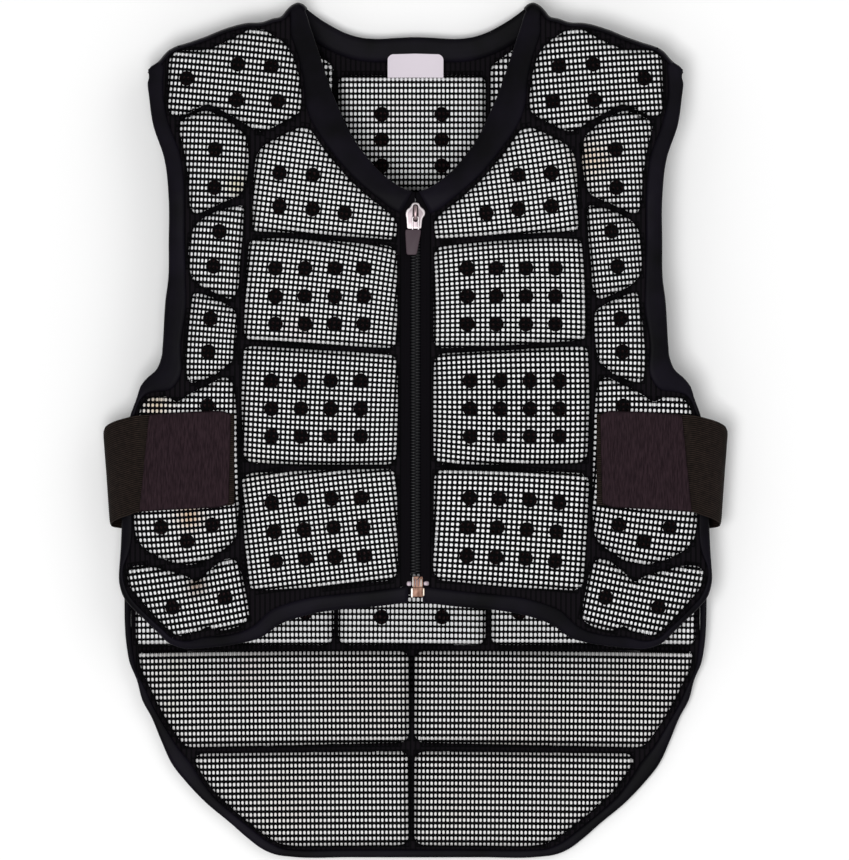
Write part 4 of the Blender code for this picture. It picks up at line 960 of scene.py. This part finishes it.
# Tapes: from under the neck bindings to under the box. Rows: photo y, inner edge from the middle,
# outer edge, in metres.
tapeRows = np.array((
    (193.0, 0.0002, 0.0030), (198.0, 0.0002, 0.0065), (203.0, 0.0003, 0.0095), (206.5, 0.0036, 0.0101),
    (212.0, 0.0036, 0.0108), (220.0, 0.0036, 0.0101), (573.0, 0.0036, 0.0101), (577.0, 0.0022, 0.0101),
    (580.0, 0.0002, 0.0101), (594.0, 0.0002, 0.0085),
))
for word, side in sides:
    level = np.linspace(tapeRows[0, 0], tapeRows[-1, 0], 200)
    y = fromPhoto(np.stack([np.full(200, photo["centre"]), level], -1))[:, 1]
    inside, outside = (np.interp(level, tapeRows[:, 0], tapeRows[:, k])[:, None] for k in (1, 2))
    share = np.linspace(0, 1, 9)
    lift = 0.0006 + 0.0003 * np.cos(share * 4 * np.pi)
    x = inside + (outside - inside) * np.concatenate([share, share[::-1]])
    z = onZip(y)[:, None] + np.concatenate([lift, -lift])
    spots = np.stack([side * x, np.broadcast_to(y[:, None], (200, 18)), z], -1)
    piece, _ = makePiece(f"cloth_zip_tape_{word}", spots.reshape(-1, 3), *ringFaces(200, 18))
    dress(piece, tape, nodes=[f"zip_tape_{word}"])

# Teeth: round bars across the chain, every second one from the other side, each with a thicker
# head at the middle; a flat bar runs along under them
count = int((zipSizes["bottom"] - zipSizes["top"]) * sizes["bodyLength"] / zipSizes["pitch"] * 2)
at = (0.5 - zipSizes["top"]) * sizes["bodyLength"] - 0.0006 - np.arange(count) * zipSizes["pitch"] / 2
way = np.where(np.arange(count) % 2 == 0, 1.0, -1.0)
steps = np.linspace(0, 1, 8)
across = 0.0041 - steps * 0.0051
radius = zipSizes["toothRadius"] * np.array((0.25, 0.85, 0.9, 0.9, 0.95, 1.15, 1.1, 0.35))
crown = 0.0008 * np.sin(np.pi * np.clip(steps * 1.05, 0, 1)) ** 0.6
turn = onceRound(8)
ring = np.stack([np.zeros(8), np.cos(turn), np.sin(turn)], -1)
tooth = np.stack([across, np.zeros(8), crown - 0.0004], -1)[:, None] + ring * radius[:, None, None]
spots = tooth[None] * np.stack([way, np.ones(count), np.ones(count)], -1)[:, None, None]
spots[..., 1] += at[:, None, None]
spots[..., 2] += onZip(at)[:, None, None]
quads, caps = ringFaces(8, 8)
base = (np.arange(count) * 64)[:, None, None]
flips = (way < 0)[:, None, None]
quads = np.where(flips, quads[None], quads[None, :, ::-1]) + base
caps = np.where(flips, caps[None], caps[None, :, ::-1]) + base
y = np.linspace(at[0], at[-1], 100)
x = zipSizes["coreHalf"] * np.array((-1, 1, 1, -1))
z = onZip(y)[:, None] + np.array((-0.0012, -0.0012, -0.0003, -0.0003))
core = np.stack([np.tile(x, (100, 1)), np.tile(y[:, None], (1, 4)), z], -1)
coreFaces = [faces + count * 64 for faces in ringFaces(100, 4)]
piece, _ = makePiece("zip_teeth", np.concatenate([spots.reshape(-1, 3), core.reshape(-1, 3)]),
                     np.concatenate([quads.reshape(-1, 4), *coreFaces]), caps.reshape(-1, 8))
dress(piece, coil, nodes=["zip_chain"])


# A plate from a plan in the XY plane between two heights, its edges bevelled
def makePlate(name, plan, low, high, bevel, segments=3):
    loop = evened(rounded(plan, 0.0008), 0.0004)
    n = len(loop)
    spots = np.concatenate([np.column_stack([loop, np.full(n, z)]) for z in (low, high)])
    a = np.arange(n)
    b = (a + 1) % n
    turn = np.sum(loop[:, 0] * np.roll(loop[:, 1], -1) - loop[:, 1] * np.roll(loop[:, 0], -1))
    quads = np.stack([a, b, b + n, a + n], 1)
    caps = np.stack([a[::-1], a + n])
    if turn < 0:
        quads, caps = quads[:, ::-1], caps[:, ::-1]
    piece, _ = makePiece(name, spots, quads, caps)
    edge = piece.modifiers.new("bevel", "BEVEL")
    edge.width = bevel
    edge.segments = segments
    edge.limit_method = "ANGLE"
    edge.angle_limit = 0.9
    return piece


# A bent round bar: a circle carried along a line in the YZ plane, wide in X
def makeBar(name, line, halfWide, halfTall, points=14):
    line = curved(np.array(line, float), 40)
    along = np.gradient(line, axis=0)
    along /= np.linalg.norm(along, axis=1)[:, None]
    out = np.column_stack([-along[:, 1], along[:, 0]])
    turn = onceRound(points)
    x = np.broadcast_to(halfWide * np.cos(turn), (40, points))
    yz = line[:, None] + out[:, None] * (halfTall * np.sin(turn))[None, :, None]
    spots = np.concatenate([x[..., None], yz], -1)
    piece, _ = makePiece(name, spots.reshape(-1, 3), *ringFaces(40, points))
    return piece


slider = {
    "plan": ((415.5, 203.2), (411.8, 204.2), (410.8, 207.6), (406.6, 210.6), (405.4, 215), (406.4, 219.5),
             (407.0, 229.8), (421.4, 229.8), (422.4, 219.5), (425.6, 215), (424.4, 210.6), (420.2, 207.6),
             (419.2, 204.2)),
    "hollowShade": ((413.2, 205.2), (412.6, 213), (412.6, 220), (414.2, 223), (417.2, 223), (418.6, 220),
               (418.6, 213), (417.8, 205.2)),
    "face": ((415.5, 205.0), (413.0, 206.0), (412.0, 209.0), (408.4, 212.4), (407.4, 215), (408.2, 219.5),
             (408.6, 228.2), (419.8, 228.2), (420.6, 219.5), (423.6, 215), (422.6, 212.4), (419.0, 209.0),
             (418.0, 206.0)),
    "inside": 0.0018, "outside": 0.0033, "bail": (206.2, 221.6), "bailHeight": 0.0031,
}
plan = fromPhoto(slider["plan"])
middle = float(onZip(np.array([plan[:, 1].mean()]))[0])
upper = makePlate("slider_plate", plan, middle + slider["inside"], middle + slider["outside"], 0.0005)
lower = makePlate("slider_lower_plate", plan, middle - slider["outside"], middle - slider["inside"], 0.0005)
bailTop, bailEnd = (fromPhoto((415.5, y))[1] for y in slider["bail"])
plateTop = middle + slider["outside"]
high = plateTop + slider["bailHeight"] - 0.0006
bailLine = (
    (bailTop - 0.0006, plateTop - 0.0004), (bailTop - 0.0009, high - 0.0007), (bailTop - 0.0022, high),
    (bailEnd + 0.0022, high), (bailEnd + 0.0009, high - 0.0007), (bailEnd + 0.0006, plateTop - 0.0004),
)
bail = makeBar("slider_bail", bailLine, 0.0013, 0.0006)
post = makePlate("slider_post", fromPhoto(((413.5, 205), (413.5, 210.5), (417.5, 210.5), (417.5, 205))),
                 middle - slider["inside"] - 0.0002, middle + slider["inside"] + 0.0002, 0.0003)
# An inset face in darker metal on the upper plate, leaving a painted highlight round the plate's rim
face = makePlate("slider_face_painted_darker", fromPhoto(slider["face"]), plateTop - 0.0003, plateTop + 0.00006, 0.00003)
# Painted shade round and under the bail: a near-black plate on the face
shade = makePlate("slider_shade", fromPhoto(slider["hollowShade"]), plateTop - 0.0003, plateTop + 0.00012, 0.00003)
for piece, material in (
    (upper, silver), (lower, silver), (bail, rose), (post, silver), (face, pale), (shade, hollowShade),
):
    dress(piece, material, nodes=["zip_slider"])

hinge = np.array(frame["joints"][0]["pos_m"])
pull = {"length": 0.0263, "width": 0.0106, "tab": 0.0018, "wire": 0.0011}
# The tab hangs a little to the wearer's right of the slider
tabPlan = [(-0.60, 0.325), (-0.66, 0.345), (-0.67, 0.42), (-0.60, 0.955), (-0.54, 1.0),
           (0.04, 1.0), (0.10, 0.955), (0.35, 0.42), (0.35, 0.345), (0.29, 0.325)]
tabPlan = np.array([(x * pull["width"], hinge[1] - y * pull["length"]) for x, y in tabPlan])
piece = makePlate("pull_tab", tabPlan, hinge[2] - pull["tab"] / 2, hinge[2] + pull["tab"] / 2, 0.0005)
dress(piece, plastic, body="pull", nodes=["zip_pull"])
# Wire loop through the bail: two arms and the bar between them
for word, across, along in (
    ("arm_right", (-0.245, -0.14), (-0.02, 0.40)), ("arm_left", (0.14, 0.245), (-0.02, 0.40)),
    ("bar", (-0.245, 0.245), (-0.02, 0.02)),
):
    plan = rectangle(across, along) * (pull["width"], -pull["length"]) + hinge[:2]
    piece = makePlate(f"pull_{word}", plan, hinge[2] - pull["wire"] / 2, hinge[2] + pull["wire"] / 2, 0.0003)
    dress(piece, silver, body="pull", nodes=["zip_pull"])

# The box at the foot, a little to the wearer's left of the zip. Columns: photo x and y ranges,
# bottom and top over the middle, metal. The edges and outer ribs take lighter metals, painted highlights.
boxParts = (
    ("body", (411.4, 424.2), (586.5, 596.3), -0.0024, 0.0016, copper),
    ("edge_right", (410.9, 413.2), (587.0, 597.2), -0.0020, 0.0022, boxHighlight),
    ("edge_left", (422.6, 424.7), (587.0, 595.6), -0.0020, 0.0021, boxDimHighlight),
    ("top", (412.2, 423.2), (575.6, 587.0), -0.0020, 0.0012, copper),
    ("rib_1", (412.3, 413.7), (575.6, 586.4), -0.0010, 0.0021, boxHighlight),
    ("rib_2", (415.0, 416.0), (577.4, 586.0), -0.0010, 0.0018, grey),
    ("rib_3", (417.6, 418.7), (577.4, 586.0), -0.0010, 0.0018, grey),
    ("rib_4", (420.4, 421.8), (578.0, 586.4), -0.0010, 0.0021, boxHighlight),
    ("wing_right", (406.6, 411.9), (580.4, 585.6), -0.0012, 0.0013, grey),
    ("wing_left", (423.4, 429.2), (580.4, 585.2), -0.0012, 0.0013, grey),
)
middle = float(onZip(fromPhoto(((415.5, 585),))[:, 1])[0])
for word, across, along, low, high, material in boxParts:
    plan = fromPhoto(rectangle(across, along))
    piece = makePlate(f"zip_box_{word}", plan, middle + low, middle + high, 0.0004)
    dress(piece, material, nodes=["zip_box"])
print("zip done")

labelPlan = ((387.5, 79.8), (387.5, 57), (391, 53.5), (415.5, 52.8), (440, 53.5), (443.5, 57), (443.5, 79.8))
label = {"over": 0.0028, "thickness": 0.0007, "bevel": 0.0002}
middle = float(backPlane(fromPhoto((415.5, 66)))) + label["over"]
top = middle + label["thickness"]
piece = makePlate("cloth_neck_label", fromPhoto(labelPlan), middle, top, label["bevel"], 2)
dress(piece, satin, nodes=["neck_label"])


def addFloor():
    data = bpy.data.meshes.new("floor")
    data.from_pydata([(-6, -6, 0), (6, -6, 0), (6, 6, 0), (-6, 6, 0)], [], [(0, 1, 2, 3)])
    floor = bpy.data.objects.new("floor", data)
    bpy.context.scene.collection.objects.link(floor)
    material, _, _ = newMaterial("pale_floor", (0.90, 0.90, 0.90), 0.9)
    data.materials.append(material)
    floor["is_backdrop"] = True


def addLight(name, power, size, place, aim):
    data = bpy.data.lights.new(name, "AREA")
    data.energy, data.size = power, size
    light = bpy.data.objects.new(name, data)
    light.location = place
    light.rotation_euler = (Vector(aim) - Vector(place)).to_track_quat("-Z", "Y").to_euler()
    bpy.context.scene.collection.objects.link(light)


addFloor()
addLight("key", 46, 0.9, (-0.30, -0.35, 2.9), (0, 0, 0))
addLight("fill", 10, 1.6, (1.3, 0.9, 2.2), (0, 0, 0))
world = bpy.data.worlds.new("studio")
world.use_nodes = True
world.node_tree.nodes["Background"].inputs["Color"].default_value = (1, 1, 1, 1)
world.node_tree.nodes["Background"].inputs["Strength"].default_value = 0.55
bpy.context.scene.world = world
bpy.context.scene.view_settings.view_transform = "Standard"

camera = bpy.data.objects.new("camera", bpy.data.cameras.new("camera"))
bpy.context.scene.collection.objects.link(camera)
view = {"distance": 9.0, "level": 0.035}  # the photo's scale holds at this level
frameHeight = photo["height"] / photo["down"] * sizes["bodyLength"]
spot = fromPhoto((photo["width"] / 2, photo["height"] / 2))
camera.location = (spot[0], spot[1], view["distance"])
camera.data.sensor_width = 36
camera.data.lens = 36 * (view["distance"] - view["level"]) / frameHeight
camera.data.clip_start, camera.data.clip_end = 0.5, 100
bpy.context.scene.camera = camera

low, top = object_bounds()
for word, start, end in (("cad", cadLow, cadHigh), ("visual", low, top)):
    print(word, [round(b - a, 4) for a, b in zip(start, end)])
